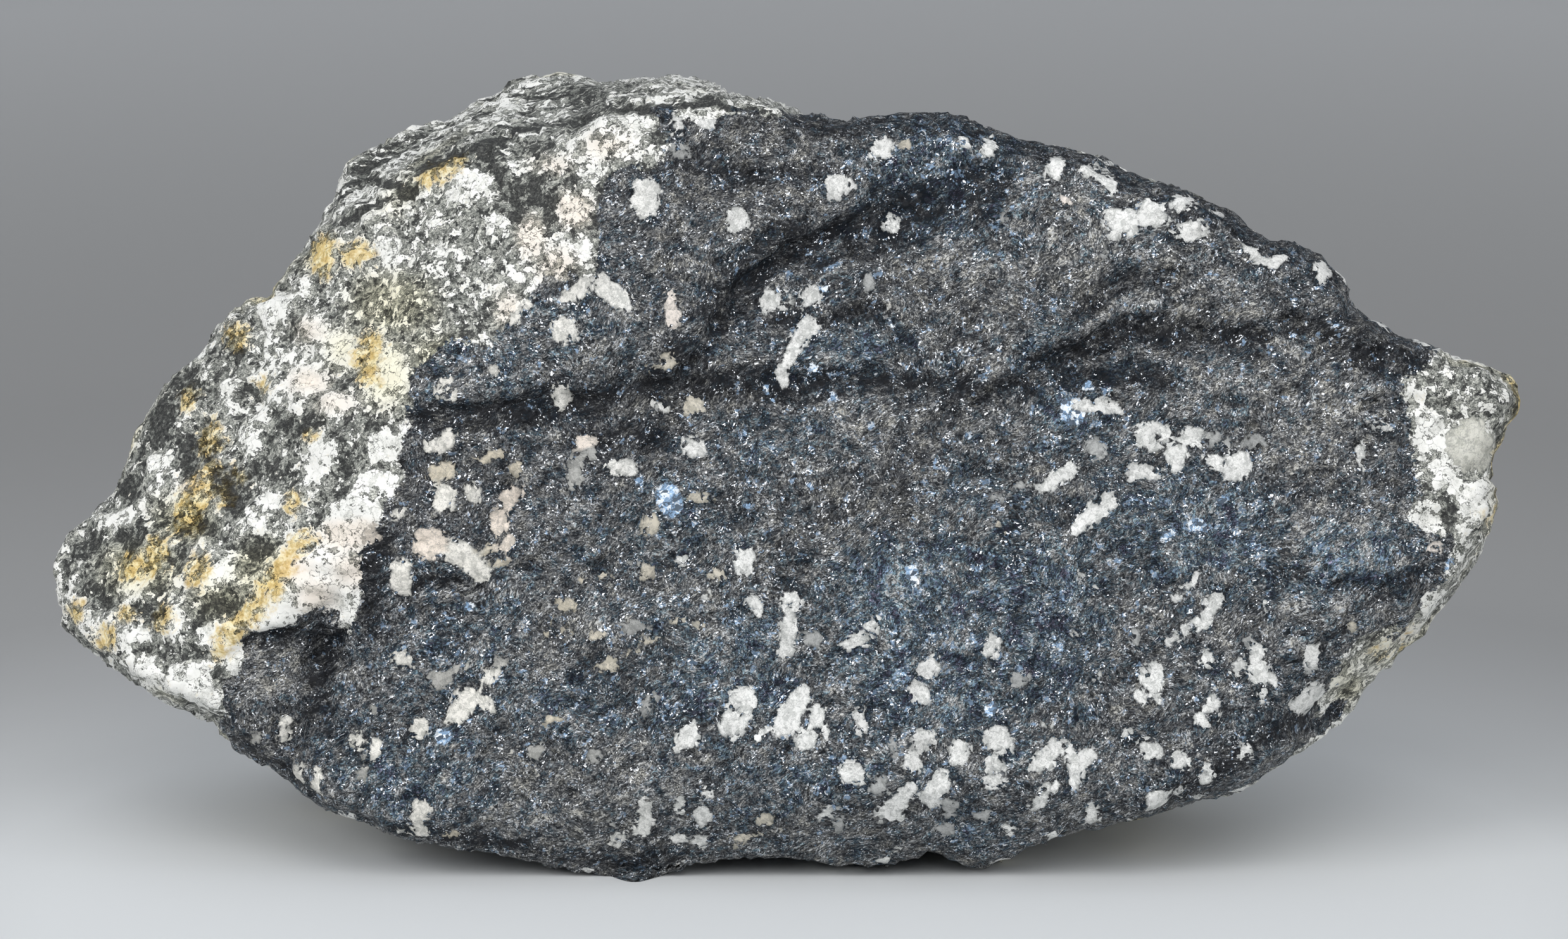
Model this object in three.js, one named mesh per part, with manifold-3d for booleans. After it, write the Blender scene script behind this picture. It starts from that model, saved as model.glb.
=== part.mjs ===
// Peacock ore: one broken hand specimen, tarnished copper ore on banded host rock.
// Millimetres, +Z up. The origin is the middle of the stone's box, on the surface it rests on.
//
// The stone is shaped in its face frame: u runs to the right and v up along the broad broken
// face, and w runs into the stone, square to that face. The face then leans back by LEAN.

import * as THREE from 'three';
import { mergeVertices } from 'three/addons/utils/BufferGeometryUtils.js';
import { ImprovedNoise } from 'three/addons/math/ImprovedNoise.js';
import Module from 'manifold-3d';

const { degToRad, lerp, smoothstep } = THREE.MathUtils;

// ---- Driving dimensions ----------------------------------------------------------------

const LEAN = degToRad(12);          // the broad face leans back from upright
const MIDDLE = { u: 0, v: 32, w: 8 };   // middle of the stone in the face frame
const HALF = { u: 58, v: 32, w: 24 };   // and half its size
const FACE_DEPTH = -13;             // the face stands this far in front of w = 0
const BACK_DEPTH = 33;              // the back, before its facets are broken off
const BASE_CUT = 2.0;               // height of the worn flat spot in the leaning frame
const OUTLINE_DISTANCE = 516;       // the outline is true when it is seen from this far

const CELLS = { across: 44, up: 22, deep: 16 };   // grid of the box that is bent to shape
const RIM_RING = 3;                 // ring of the grid's sides that lies on the rim
const FRONT_EDGE = 0.9;             // the last square of the grid on the face, part of the way out
const ROUND_OVER = { from: 0.955, spread: 0.025 };   // where the face turns over to the rim
const RIM_SLACK = 25;               // near the rim the face is hardly deeper than the rim itself
const BACK_EDGE = 0.8;              // the sides turn into the back here
const SHOULDER = 3;                 // squareness of the turn from the sides to the back

// The rim, where the face meets the sides: u, v and w, from the right-hand tip over the top.
const RIM = [
  // right-hand tip and the long upper edge
  [58.4, 38.0, -5], [58.1, 39.1, -5], [56.8, 40.5, -6], [55.0, 41.3, -6], [52.4, 41.5, -6],
  [51.5, 42.4, -7], [48.8, 43.2, -7], [46.8, 44.4, -7], [44.8, 45.4, -7], [45.0, 46.9, -8],
  [44.0, 48.2, -8], [42.8, 49.4, -8], [40.8, 50.6, -8], [38.0, 50.9, -8], [36.9, 51.7, -8],
  [35.5, 53.0, -8], [32.3, 54.5, -8], [29.2, 55.2, -8], [26.0, 56.6, -8], [23.9, 57.5, -8],
  [22.2, 58.2, -8], [19.8, 58.3, -8], [17.3, 59.0, -8], [14.8, 60.4, -8], [10.6, 60.8, -8],
  [6.9, 60.7, -7],
  // the banded ridge that stands behind the face's upper edge
  [4.8, 60.2, -5], [2.8, 60.8, -2], [1.1, 60.8, 2], [-1.8, 62.0, 6], [-4.8, 62.4, 9],
  [-5.9, 63.3, 13], [-10.6, 63.7, 15], [-13.6, 63.3, 15], [-17.5, 64.0, 15], [-20.4, 63.8, 15],
  [-22.0, 63.0, 15], [-23.0, 62.2, 14], [-24.2, 61.5, 14], [-26.4, 60.0, 12], [-28.2, 60.0, 12],
  [-31.0, 58.6, 10], [-34.2, 56.9, 8],
  // the sloping left-hand shoulder, down to the left tip
  [-34.9, 55.2, 6], [-36.0, 53.2, 5], [-37.2, 51.2, 4], [-38.7, 49.2, 4], [-39.7, 47.6, 4],
  [-41.2, 46.4, 4], [-43.0, 45.7, 5], [-44.5, 44.4, 5], [-45.2, 43.2, 5], [-45.4, 42.1, 5],
  [-48.0, 40.6, 5], [-50.2, 37.5, 5], [-52.1, 33.2, 5], [-53.6, 30.0, 5], [-55.5, 28.6, 5],
  [-57.4, 27.0, 5], [-58.3, 25.1, 5], [-58.1, 23.2, 5], [-57.8, 21.4, 4],
  // the lower left edge
  [-56.8, 19.3, 3], [-55.2, 18.2, 2], [-51.8, 15.9, 1], [-49.0, 14.6, 0], [-46.0, 13.2, -2],
  [-44.6, 12.3, -3], [-43.9, 11.0, -4], [-41.8, 9.2, -5], [-40.7, 9.0, -5], [-38.8, 7.6, -6],
  [-37.4, 6.6, -6], [-36.0, 5.3, -6], [-34.4, 5.4, -6], [-33.4, 5.0, -7], [-31.6, 3.8, -8],
  [-28.8, 3.2, -9], [-25.0, 2.6, -9], [-22.2, 2.2, -9], [-18.9, 1.2, -9], [-14.6, 0.4, -9],
  // the underside's front edge, with the two feet that it stands on
  [-13.0, -0.1, -9], [-10.2, 0.1, -9], [-8.4, 0.8, -9], [-6.0, 1.7, -9], [-3.6, 1.4, -9],
  [0.2, 1.9, -9], [4.4, 1.6, -9], [9.0, 1.6, -9], [9.8, 2.3, -8], [11.2, 2.6, -7],
  [12.5, 2.2, -6], [14.4, 1.4, -5], [15.8, 0.9, -4],
  // the lower right edge, back up to the tip
  [18.4, 2.2, -5], [20.9, 3.2, -6], [23.7, 4.3, -6], [27.5, 4.7, -6], [30.2, 5.8, -6],
  [33.2, 6.8, -6], [35.4, 7.0, -5], [37.4, 8.2, -4], [39.2, 9.4, -4], [41.5, 10.6, -2],
  [44.2, 12.7, 1], [46.1, 14.9, 2], [47.8, 17.0, 3], [49.8, 18.6, 3], [51.4, 20.7, 3],
  [52.8, 22.6, 3], [54.0, 24.5, 2], [55.5, 26.9, 1], [56.3, 28.6, 0], [56.7, 30.0, -1],
  [56.0, 32.0, -3], [56.6, 34.6, -4], [57.4, 36.0, -5],
];

// The host rock slopes away to the left of this line on the face.
const HOST_EDGE = [[-50, 8], [-45, 15], [-42, 19.2], [-33, 31], [-24, 46], [-14.5, 60.2], [-10, 67]];
const HOST_SLOPE = 0.78;

// The groove in front of the banded ridge, and how steeply the ridge runs back behind it.
const RIDGE_GROOVE = [[-40, 51], [-34.5, 53.9], [-31.3, 55.6], [-27, 57.8], [-25, 59], [-18.5, 59.5],
  [-10.7, 61.4], [-2, 61], [6, 61.5]];
const RIDGE_DROP = 4;
const RIDGE_SLOPE = 3;
const RIDGE_TOP = 3.5;              // the ridge levels off this far above the groove

// The steep facet along the lower right edge.
const RIGHT_FACET = [[36.4, 5], [37.6, 9], [39, 11.6], [40.4, 15.4], [46.1, 19.6], [52.5, 23.6],
  [56.6, 29.5], [60, 32.5]];
const RIGHT_SLOPE = 3.6;

// Low broken ledges on the face. The side to the left of the path stands up by rise, the side
// to its right is sunk by sink, and both run out over reach and towards the path's ends.
const LEDGES = [
  { path: [[-32, 36], [-20.5, 37.8], [-12, 39.8], [-6, 39.8], [3, 36.5]], rise: 1.1, sink: 0.5, reach: 7 },
  { path: [[-11, 36], [-4.5, 48.2], [3, 51.2], [15, 58]], rise: 0.7, sink: 1.1, reach: 7 },
  { path: [[15, 37], [23, 41.8], [25.5, 47], [30.5, 47.6], [38, 44.8], [48, 40]], rise: 1, sink: 0.8,
    reach: 6 },
  { path: [[-34, 28], [-30, 23.2], [-20, 24.5]], rise: 0.8, sink: 1.2, reach: 5 },
  { path: [[-49, 7], [-45, 15.8], [-43, 17.6], [-41.9, 19.8], [-39.7, 20.2], [-28, 20.2]], rise: 0.6,
    sink: 3, reach: 5 },
];
const LEDGE_ENDS = 0.25;            // a ledge grows to full height over this part of its path
const LEDGE_HALF = 2.6;             // half the width of a ledge's slope

// A narrow valley down the dark lower left corner.
const VALLEY = { path: [[-34.8, 21.8], [-36.5, 17.2], [-38, 13.8], [-39.5, 10.2]], depth: 2.2, half: 1.8 };

// Facets broken off the back and the sides: outward direction (u, v, w) and distance of the
// facet from the middle of the stone.
const FACETS = [
  { out: [0.10, 0.05, 0.99], reach: 22.5 },
  { out: [-0.55, 0.25, 0.80], reach: 33 },
  { out: [0.62, -0.15, 0.77], reach: 33 },
  { out: [0.15, 0.75, 0.64], reach: 31 },
  { out: [-0.35, 0.68, 0.64], reach: 35 },
  { out: [0.10, -0.60, 0.79], reach: 31 },
  { out: [0.50, 0.60, 0.62], reach: 30 },
  { out: [-0.75, -0.45, 0.48], reach: 46 },
  { out: [0.60, -0.70, 0.38], reach: 38 },
];
const FACET_ROUNDING = 0.9;         // softness of the edges between the facets

const LUMPS = { size: 11, back: 1.1, face: 0.45 };   // lumps: their size, and height on back and face
const CHIPS = { size: 4.6, back: 0.7, face: 0.3 };   // smaller broken relief on top of them
const LAYERS = { spacing: 4.4, height: 0.7, dip: 0.02 };   // edges of the rock's layers on the sides

// ---- Paths on the face ------------------------------------------------------------------

// Where (u, v) lies against an open path: side is its distance, positive to the left of the
// way the path runs, and along is the part of the path's length at its nearest point.
function against(u, v, path) {
  const found = { side: 0, along: 0 };
  let nearest = Infinity;
  let passed = 0;
  for (let i = 0; i + 1 < path.length; i += 1) {
    const [u0, v0] = path[i];
    const run = [path[i + 1][0] - u0, path[i + 1][1] - v0];
    const length = Math.hypot(...run);
    const free = ((u - u0) * run[0] + (v - v0) * run[1]) / length ** 2;
    const part = THREE.MathUtils.clamp(free, 0, 1);
    const gap = Math.hypot(u - u0 - part * run[0], v - v0 - part * run[1]);
    if (gap < nearest - 1e-9) {
      nearest = gap;
      found.side = Math.sign(run[0] * (v - v0) - run[1] * (u - u0)) * gap;
      found.along = passed + part * length;
    }
    passed += length;
  }
  found.along /= passed;
  return found;
}

const beside = (u, v, path) => against(u, v, path).side;

// ---- Relief -----------------------------------------------------------------------------

const noise = new ImprovedNoise();
const rough = (p, size) => 2 * noise.noise(p.x / size + 7.3, p.y / size + 2.1, p.z / size + 5.7);

// Turns a negative distance into 0 and keeps a positive one, with a soft bend between.
const soften = (distance, width) => width * Math.log(1 + Math.exp(distance / width));

// Depth w of the broad face at (u, v).
function faceDepth(u, v) {
  let w = FACE_DEPTH + 0.001 * (u - 5) ** 2 + 0.0022 * (v - MIDDLE.v) ** 2;
  w += HOST_SLOPE * soften(beside(u, v, HOST_EDGE), 1.5);
  w += RIGHT_SLOPE * soften(-beside(u, v, RIGHT_FACET), 0.5);
  for (const { path, rise, sink, reach } of LEDGES) {
    const { side, along } = against(u, v, path);
    const grown = smoothstep(along, 0, LEDGE_ENDS) * smoothstep(1 - along, 0, LEDGE_ENDS);
    const step = smoothstep(side, -LEDGE_HALF, LEDGE_HALF);
    w += grown * lerp(sink, -rise, step) * Math.exp(-Math.abs(side) / reach);
  }
  w += VALLEY.depth * Math.exp(-((beside(u, v, VALLEY.path) / VALLEY.half) ** 2));
  const behind = beside(u, v, RIDGE_GROOVE);
  w += RIDGE_DROP * smoothstep(behind, -0.5, 1.2);
  w += RIDGE_SLOPE * THREE.MathUtils.clamp(behind, 0, RIDGE_TOP);
  return w;
}

// Breaks the facets off the back, then roughens the surface. face is 1 on the broad face and
// 0 on the back, and edge is 1 on the rim, which keeps its outline.
function weather(p, face, edge) {
  const middle = new THREE.Vector3(MIDDLE.u, MIDDLE.v, MIDDLE.w);
  const out = new THREE.Vector3();
  for (const { out: direction, reach } of FACETS) {
    out.fromArray(direction).normalize();
    const over = p.clone().sub(middle).dot(out) - reach;
    p.addScaledVector(out, -soften(over, FACET_ROUNDING) * (1 - face));
  }
  const keep = 1 - 0.8 * edge;
  const swell = lerp(LUMPS.back, LUMPS.face, face) * rough(p, LUMPS.size)
    + lerp(CHIPS.back, CHIPS.face, face) * rough(p, CHIPS.size);
  const layer = 2 * LAYERS.height * noise.noise(0.5, LAYERS.dip * p.x, p.z / LAYERS.spacing);
  out.copy(p).sub(middle);
  const sideways = new THREE.Vector3(out.x, out.y, 0).normalize();
  out.divide(new THREE.Vector3(HALF.u, HALF.v, HALF.w)).normalize();
  p.addScaledVector(out, swell * keep);
  p.addScaledVector(sideways, layer * keep * (1 - face));
}

// ---- The stone --------------------------------------------------------------------------

// The rim as a closed curve. A deep point is moved outwards from the line of sight, so that it
// still lies on the outline.
function rimCurve() {
  const points = RIM.map(([u, v, w]) => {
    const flare = 1 + w / OUTLINE_DISTANCE;
    return new THREE.Vector3(u * flare, MIDDLE.v + (v - MIDDLE.v) * flare, w);
  });
  const curve = new THREE.CatmullRomCurve3(points, true, 'centripetal');
  curve.arcLengthDivisions = 3000;
  return curve;
}

// The part of the way round the rim that a point (x, y) of the grid's square points to, counted
// from the middle of the right-hand side: every cell along the sides takes the same length.
function wayRound(x, y) {
  const { up, across } = CELLS;
  const far = Math.max(Math.abs(x), Math.abs(y), 1e-9);
  const [right, top] = [x / far, y / far];
  let cells = up * top / 2;
  if (top > 1 - 1e-9) cells = (up + across * (1 - right)) / 2;
  else if (right < -1 + 1e-9) cells = (up + 2 * across + up * (1 - top)) / 2;
  else if (top < -1 + 1e-9) cells = (3 * up + 2 * across + across * (1 + right)) / 2;
  const all = 2 * (up + across);
  return (cells / all + 1) % 1;
}

// How far out a point of the grid lies, from 0 in the middle of the face or back to 1 on the
// rim, and how far back it lies, from 0 on the rim to 1 in the middle of the back.
function acrossAndBack(square, z) {
  if (z > 0.999) return { out: FRONT_EDGE * square, back: -1 };
  const ring = CELLS.deep * (1 - z) / 2;
  if (z > -0.999 && ring < RIM_RING) return { out: lerp(FRONT_EDGE, 1, ring / RIM_RING), back: -1 };
  let out = BACK_EDGE * square;
  if (z > -0.999) {
    const lastTurn = Math.acos(BACK_EDGE ** (SHOULDER / 2));
    const turn = lastTurn * (ring - RIM_RING) / (CELLS.deep - RIM_RING);
    out = Math.cos(turn) ** (2 / SHOULDER);
  }
  return { out, back: Math.max(1 - out ** SHOULDER, 0) ** (1 / SHOULDER) };
}

// Splits each four-sided cell of the grid along its shorter diagonal.
function shorterDiagonals(grid) {
  const place = grid.attributes.position;
  const corner = (i) => new THREE.Vector3().fromBufferAttribute(place, i);
  const index = grid.index.array;
  for (let i = 0; i < index.length; i += 6) {
    const [a, b, d, , c] = index.slice(i, i + 5);
    if (corner(a).distanceTo(corner(c)) < corner(b).distanceTo(corner(d))) index.set([a, b, c, a, c, d], i);
  }
  return grid;
}

// Bends a box grid to the stone, in the face frame.
function bentGrid() {
  const rim = rimCurve();
  const box = new THREE.BoxGeometry(2, 2, 2, CELLS.across, CELLS.up, CELLS.deep);
  box.deleteAttribute('normal');
  box.deleteAttribute('uv');
  const grid = mergeVertices(box, 1e-5);
  const place = grid.attributes.position;
  const p = new THREE.Vector3();
  for (let i = 0; i < place.count; i += 1) {
    p.fromBufferAttribute(place, i);
    const { out, back } = acrossAndBack(Math.max(Math.abs(p.x), Math.abs(p.y)), p.z);
    const edge = rim.getPointAt(wayRound(p.x, p.y));
    const u = lerp(MIDDLE.u, edge.x, out);
    const v = lerp(MIDDLE.v, edge.y, out);
    if (back < 0) {
      const start = ROUND_OVER.from + ROUND_OVER.spread * rough(edge, LUMPS.size);
      const over = Math.max((out - start) / (1 - start), 0);
      const deepest = edge.z + RIM_SLACK * (1 - out);
      p.set(u, v, lerp(edge.z, Math.min(faceDepth(u, v), deepest), Math.sqrt(1 - over ** 2)));
    } else {
      p.set(u, v, lerp(edge.z, BACK_DEPTH, back));
    }
    const onFace = back < 0 ? 1 : 1 - smoothstep(back, 0, 0.25);
    weather(p, onFace, smoothstep(out, 0.85, 1) * (1 - smoothstep(back, 0, 0.3)));
    place.setXYZ(i, p.x, p.y, p.z);
  }
  return shorterDiagonals(grid);
}

// Leans the face back: w goes into Y, and v goes up Z.
function leanBack(geometry) {
  const place = geometry.attributes.position;
  for (let i = 0; i < place.count; i += 1) {
    const [u, v, w] = [place.getX(i), place.getY(i), place.getZ(i)];
    place.setXYZ(i, u, v * Math.sin(LEAN) + w * Math.cos(LEAN), v * Math.cos(LEAN) - w * Math.sin(LEAN));
  }
  return geometry;
}

const wasm = await Module();
wasm.setup();

function solid(geometry) {
  return new wasm.Manifold(new wasm.Mesh({
    numProp: 3,
    vertProperties: new Float32Array(geometry.attributes.position.array),
    triVerts: new Uint32Array(geometry.index.array),
  }));
}

function block(width, depth, height) {
  const box = new THREE.BoxGeometry(width, depth, height);
  box.deleteAttribute('normal');
  box.deleteAttribute('uv');
  return mergeVertices(box);
}

// The stone with its underside worn flat where it stands.
function stoneGeometry() {
  const under = block(400, 400, 100).translate(0, 0, BASE_CUT - 50);
  const cut = solid(leanBack(bentGrid())).subtract(solid(under)).getMesh();
  const geometry = new THREE.BufferGeometry();
  geometry.setAttribute('position', new THREE.BufferAttribute(new Float32Array(cut.vertProperties), 3));
  geometry.setIndex(new THREE.BufferAttribute(new Uint32Array(cut.triVerts), 1));
  geometry.computeBoundingBox();
  const middle = geometry.boundingBox.getCenter(new THREE.Vector3());
  return geometry.translate(-middle.x, -middle.y, -geometry.boundingBox.min.z);
}

const tarnishedOre = new THREE.MeshStandardMaterial({ color: 0x63686c, roughness: 0.42, metalness: 0.35 });

const stone = new THREE.Mesh(stoneGeometry(), tarnishedOre);
stone.name = 'peacock_ore';

const peacockOre = new THREE.Group();
peacockOre.add(stone);

export default peacockOre;
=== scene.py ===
import itertools
import math

import bmesh
import bpy
import numpy as np
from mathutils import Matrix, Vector


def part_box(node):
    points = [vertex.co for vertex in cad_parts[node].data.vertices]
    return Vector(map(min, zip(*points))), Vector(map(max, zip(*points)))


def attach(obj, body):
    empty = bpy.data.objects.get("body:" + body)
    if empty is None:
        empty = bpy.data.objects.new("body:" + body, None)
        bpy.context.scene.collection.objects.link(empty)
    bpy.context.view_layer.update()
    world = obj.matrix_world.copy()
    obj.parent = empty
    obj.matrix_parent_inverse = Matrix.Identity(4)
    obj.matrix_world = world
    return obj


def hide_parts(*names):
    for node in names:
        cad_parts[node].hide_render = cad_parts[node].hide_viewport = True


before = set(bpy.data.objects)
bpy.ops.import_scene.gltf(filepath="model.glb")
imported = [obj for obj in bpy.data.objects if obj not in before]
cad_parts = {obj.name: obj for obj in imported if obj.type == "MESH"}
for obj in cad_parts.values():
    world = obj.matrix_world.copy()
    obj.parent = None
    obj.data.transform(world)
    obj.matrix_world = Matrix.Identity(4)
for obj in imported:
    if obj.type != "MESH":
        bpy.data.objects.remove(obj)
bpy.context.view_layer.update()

# ---- The view --------------------------------------------------------------------------------
# The stone stands with its broad broken face leaning back, and the eye looks square at that face.
# Places on it are u to the right, v up along the face and w into the stone, all in millimetres.

MM = 0.001
LEAN = math.radians(12)
FACE_CORNER = Vector((-0.478, 15.222, 2.0))     # moves the leaning face into the part's frame
EYE_DISTANCE = 516.0
AIM = (-0.075, 32.65)             # u and v of the place that the eye looks at
LENS, SENSOR = 150.0, 36.0
NEAREST, FARTHEST = 0.01, 10      # what the eye takes in, in metres


def to_part(u, v, w):
    """A point of the face frame, in millimetres, as a point of the part's frame in metres."""
    y = v * math.sin(LEAN) + w * math.cos(LEAN)
    z = v * math.cos(LEAN) - w * math.sin(LEAN)
    return (Vector((u, y, z)) - FACE_CORNER) * MM


eye = bpy.data.objects.new("eye", bpy.data.cameras.new("eye"))
bpy.context.collection.objects.link(eye)
eye.location = to_part(*AIM, -EYE_DISTANCE)
eye.rotation_euler = (to_part(*AIM, 0) - eye.location).to_track_quat("-Z", "Y").to_euler()
eye.data.lens, eye.data.sensor_width = LENS, SENSOR
eye.data.clip_start, eye.data.clip_end = NEAREST, FARTHEST
bpy.context.scene.camera = eye
bpy.context.scene.view_settings.view_transform = "Standard"

# ---- The paper floor -------------------------------------------------------------------------
# A round sweep of matt pale paper: flat where the stone stands, then curving up to a wall that
# stays behind the eye from every side. Light and shade are painted into the paper's colour: a
# pale pool of painted light round the stone, painted shade past it and painted light again at
# the wall, and the stone just stands on it.

INNER_RADIUS, FLOOR_RADIUS, CURVE_RADIUS, WALL_TOP = 0.3, 1.45, 0.35, 1.5
CURVE_STEP = 10          # degrees from one ring of the curve to the next
FLOOR_DROP = 0.00002
PAPER_STEPS = 96
PAPER_ROUGHNESS, PAPER_SHINE = 0.9, 0.1
LIGHT_POOL_CENTRE = (0, -0.025, 0)
PAINTED_LIGHT_TONES = [      # distance from the middle of the painted light pool in metres, and the painted tone there
    (0.0, (0.72, 0.735, 0.74)),
    (0.060, (0.72, 0.735, 0.74)),
    (0.070, (0.61, 0.62, 0.62)),
    (0.088, (0.45, 0.452, 0.452)),
    (0.110, (0.36, 0.36, 0.357)),
    (0.22, (0.235, 0.232, 0.228)),
    (0.50, (0.55, 0.55, 0.545)),
    (1.8, (0.75, 0.75, 0.75)),
]


def link(tree, source, target):
    tree.links.new(source, target)


def add_node(tree, kind, *values, **settings):
    """Adds a shader node. Each value goes to the input in its place: a socket is linked to it,
    a number or colour is set on it, and None leaves it alone."""
    node = tree.nodes.new(kind)
    for name, value in settings.items():
        setattr(node, name, value)
    for socket, value in zip(node.inputs, values):
        if isinstance(value, bpy.types.NodeSocket):
            link(tree, value, socket)
        elif value is not None:
            socket.default_value = value
    return node


def add_ramp(tree, factor, tones, interpolation="LINEAR"):
    """A colour ramp through (position, colour) pairs."""
    node = add_node(tree, "ShaderNodeValToRGB", factor)
    ramp = node.color_ramp
    ramp.interpolation = interpolation
    while len(ramp.elements) < len(tones):
        ramp.elements.new(1.0)
    for element, (place, tone) in zip(ramp.elements, tones):
        element.position = place
        element.color = (*tone, 1)
    return node.outputs["Color"]


def new_finish(name):
    """An empty node material and its surface shader."""
    finish = bpy.data.materials.new(name)
    finish.use_nodes = True
    return finish, finish.node_tree, finish.node_tree.nodes["Principled BSDF"]


paper_profile = [(INNER_RADIUS, 0.0), (FLOOR_RADIUS, 0.0)]
for degrees in range(CURVE_STEP, 91, CURVE_STEP):
    turn = math.radians(degrees)
    paper_profile.append((FLOOR_RADIUS + CURVE_RADIUS * math.sin(turn),
                          CURVE_RADIUS * (1 - math.cos(turn))))
paper_profile.append((FLOOR_RADIUS + CURVE_RADIUS, WALL_TOP))

sweep = bmesh.new()
rings = []
for radius, height in paper_profile:
    rings.append([
        sweep.verts.new((radius * math.cos(k * math.tau / PAPER_STEPS),
                         radius * math.sin(k * math.tau / PAPER_STEPS), height - FLOOR_DROP))
        for k in range(PAPER_STEPS)
    ])
sweep.faces.new(rings[0])
for lower, upper in zip(rings, rings[1:]):
    for k in range(PAPER_STEPS):
        after = (k + 1) % PAPER_STEPS
        sweep.faces.new((lower[k], lower[after], upper[after], upper[k])).smooth = True
paper_mesh = bpy.data.meshes.new("paper_floor")
sweep.to_mesh(paper_mesh)
sweep.free()
paper = bpy.data.objects.new("paper_floor", paper_mesh)
bpy.context.collection.objects.link(paper)

paper_finish, tree, surface = new_finish("matt paper with painted light")
# the paper's colour carries painted light and shade in rings round the pool of painted light
paper_place = add_node(tree, "ShaderNodeTexCoord").outputs["Object"]
from_light_pool = add_node(tree, "ShaderNodeVectorMath", paper_place, LIGHT_POOL_CENTRE,
                     operation="SUBTRACT").outputs[0]
light_pool_reach = add_node(tree, "ShaderNodeVectorMath", from_light_pool, operation="LENGTH").outputs["Value"]
LIGHT_POOL_END = PAINTED_LIGHT_TONES[-1][0]
light_pool_share = add_node(tree, "ShaderNodeMath", light_pool_reach, LIGHT_POOL_END, operation="DIVIDE").outputs[0]
light_pool_tones = [(distance / LIGHT_POOL_END, tone) for distance, tone in PAINTED_LIGHT_TONES]
link(tree, add_ramp(tree, light_pool_share, light_pool_tones, "B_SPLINE"), surface.inputs["Base Color"])
surface.inputs["Roughness"].default_value = PAPER_ROUGHNESS
surface.inputs["Specular IOR Level"].default_value = PAPER_SHINE
paper_mesh.materials.append(paper_finish)

# ---- The studio lamps ------------------------------------------------------------------------
# Four square soft boxes with cloth fronts: a small bright one at the left, one at the right, a
# wide one high in front and a faint one overhead. The room adds a weak, slightly blue light.

LAMPS = [      # name, place in metres, side of the box in metres, watts
    ("left box", (-0.62, -0.46, 0.40), 0.40, 2.8),
    ("right box", (0.70, -0.40, 0.30), 0.45, 1.7),
    ("front box", (0.0, -0.62, 0.55), 0.60, 3.2),
    ("top box", (0.0, 0.0, 0.80), 0.90, 0.7),
]
LAMP_AIM = Vector((0, 0, 0.03))
ROOM_COLOUR, ROOM_STRENGTH = (0.80, 0.86, 0.95, 1), 0.48

for name, spot, side, watts in LAMPS:
    lamp = bpy.data.objects.new(name, bpy.data.lights.new(name, "AREA"))
    bpy.context.collection.objects.link(lamp)
    lamp.data.shape, lamp.data.size, lamp.data.energy = "SQUARE", side, watts
    lamp.location = spot
    lamp.rotation_euler = (LAMP_AIM - lamp.location).to_track_quat("-Z", "Y").to_euler()
    lamp.visible_camera = False

room = bpy.data.worlds.new("room light")
room.use_nodes = True
room.node_tree.nodes["Background"].inputs["Color"].default_value = ROOM_COLOUR
room.node_tree.nodes["Background"].inputs["Strength"].default_value = ROOM_STRENGTH
bpy.context.scene.world = room

# ---- The stone -------------------------------------------------------------------------------
# One broken lump: a slab of dark tarnished copper ore that has grown into banded white and
# black host rock. All of its surface is fresh or weathered break, so it has no made edges. It
# stands by its own weight on a small flat spot.

stone_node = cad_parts["peacock_ore"]
box_low, box_high = (np.array(corner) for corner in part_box("peacock_ore"))

WELD = 0.000001
FLAT_SPOT = 0.00002      # what lies this low is the flat spot that the stone rests on
FINER = 2                # how often each face of the solid is cut in four

lump = bmesh.new()
lump.from_mesh(stone_node.data)
bmesh.ops.remove_doubles(lump, verts=lump.verts, dist=WELD)
crease = lump.edges.layers.float.new("crease_edge")
for edge in lump.edges:
    on_spot = [all(corner.co.z < FLAT_SPOT for corner in face.verts) for face in edge.link_faces]
    if any(on_spot) and not all(on_spot):
        edge[crease] = 1.0
stone_mesh = bpy.data.meshes.new("peacock_ore_surface")
lump.to_mesh(stone_mesh)
lump.free()
stone = bpy.data.objects.new("ore_stone", stone_mesh)
bpy.context.collection.objects.link(stone)
finer = stone.modifiers.new("finer", "SUBSURF")
finer.levels = finer.render_levels = FINER
bpy.context.view_layer.update()
finer_stone = stone.evaluated_get(bpy.context.evaluated_depsgraph_get())
fine_mesh = bpy.data.meshes.new_from_object(finer_stone)
stone.modifiers.clear()
stone.data = fine_mesh
fine_mesh.materials.clear()

corner_count = len(fine_mesh.vertices)
points = np.empty(corner_count * 3)
fine_mesh.vertices.foreach_get("co", points)
points = points.reshape(-1, 3)
normals = np.empty(corner_count * 3)
fine_mesh.vertex_normals.foreach_get("vector", normals)
normals = normals.reshape(-1, 3)

# the stone's skin laid out flat in six sheets, one for each way out of its middle
SKIN_MAP = "OFBake"
SKIN_OVERLAP = 1.05      # a sheet runs a little past an eighth of a turn to each side
SKIN_SHEETS = [          # axis and side faced, then start and size of the sheet on the map
    (1, -1, (0.00, 0.63), (0.64, 0.37)),      # front
    (0, -1, (1.00, 0.63), (-0.36, 0.37)),     # left end
    (1, 1, (0.64, 0.26), (-0.64, 0.37)),      # back
    (0, 1, (0.64, 0.26), (0.36, 0.37)),       # right end
    (2, 1, (0.00, 0.00), (0.50, 0.26)),       # top
    (2, -1, (1.00, 0.00), (-0.50, 0.26)),     # underside
]
ways_out = (points - (box_low + box_high) / 2) / ((box_high - box_low) / 2)
quads = np.empty(len(fine_mesh.loops), np.int32)
fine_mesh.loops.foreach_get("vertex_index", quads)
quad_ways = ways_out[quads.reshape(-1, 4)]
faced = quad_ways.mean(axis=1)
main_axis = np.abs(faced).argmax(axis=1)
skin_places = np.zeros((len(faced), 4, 2))
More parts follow.
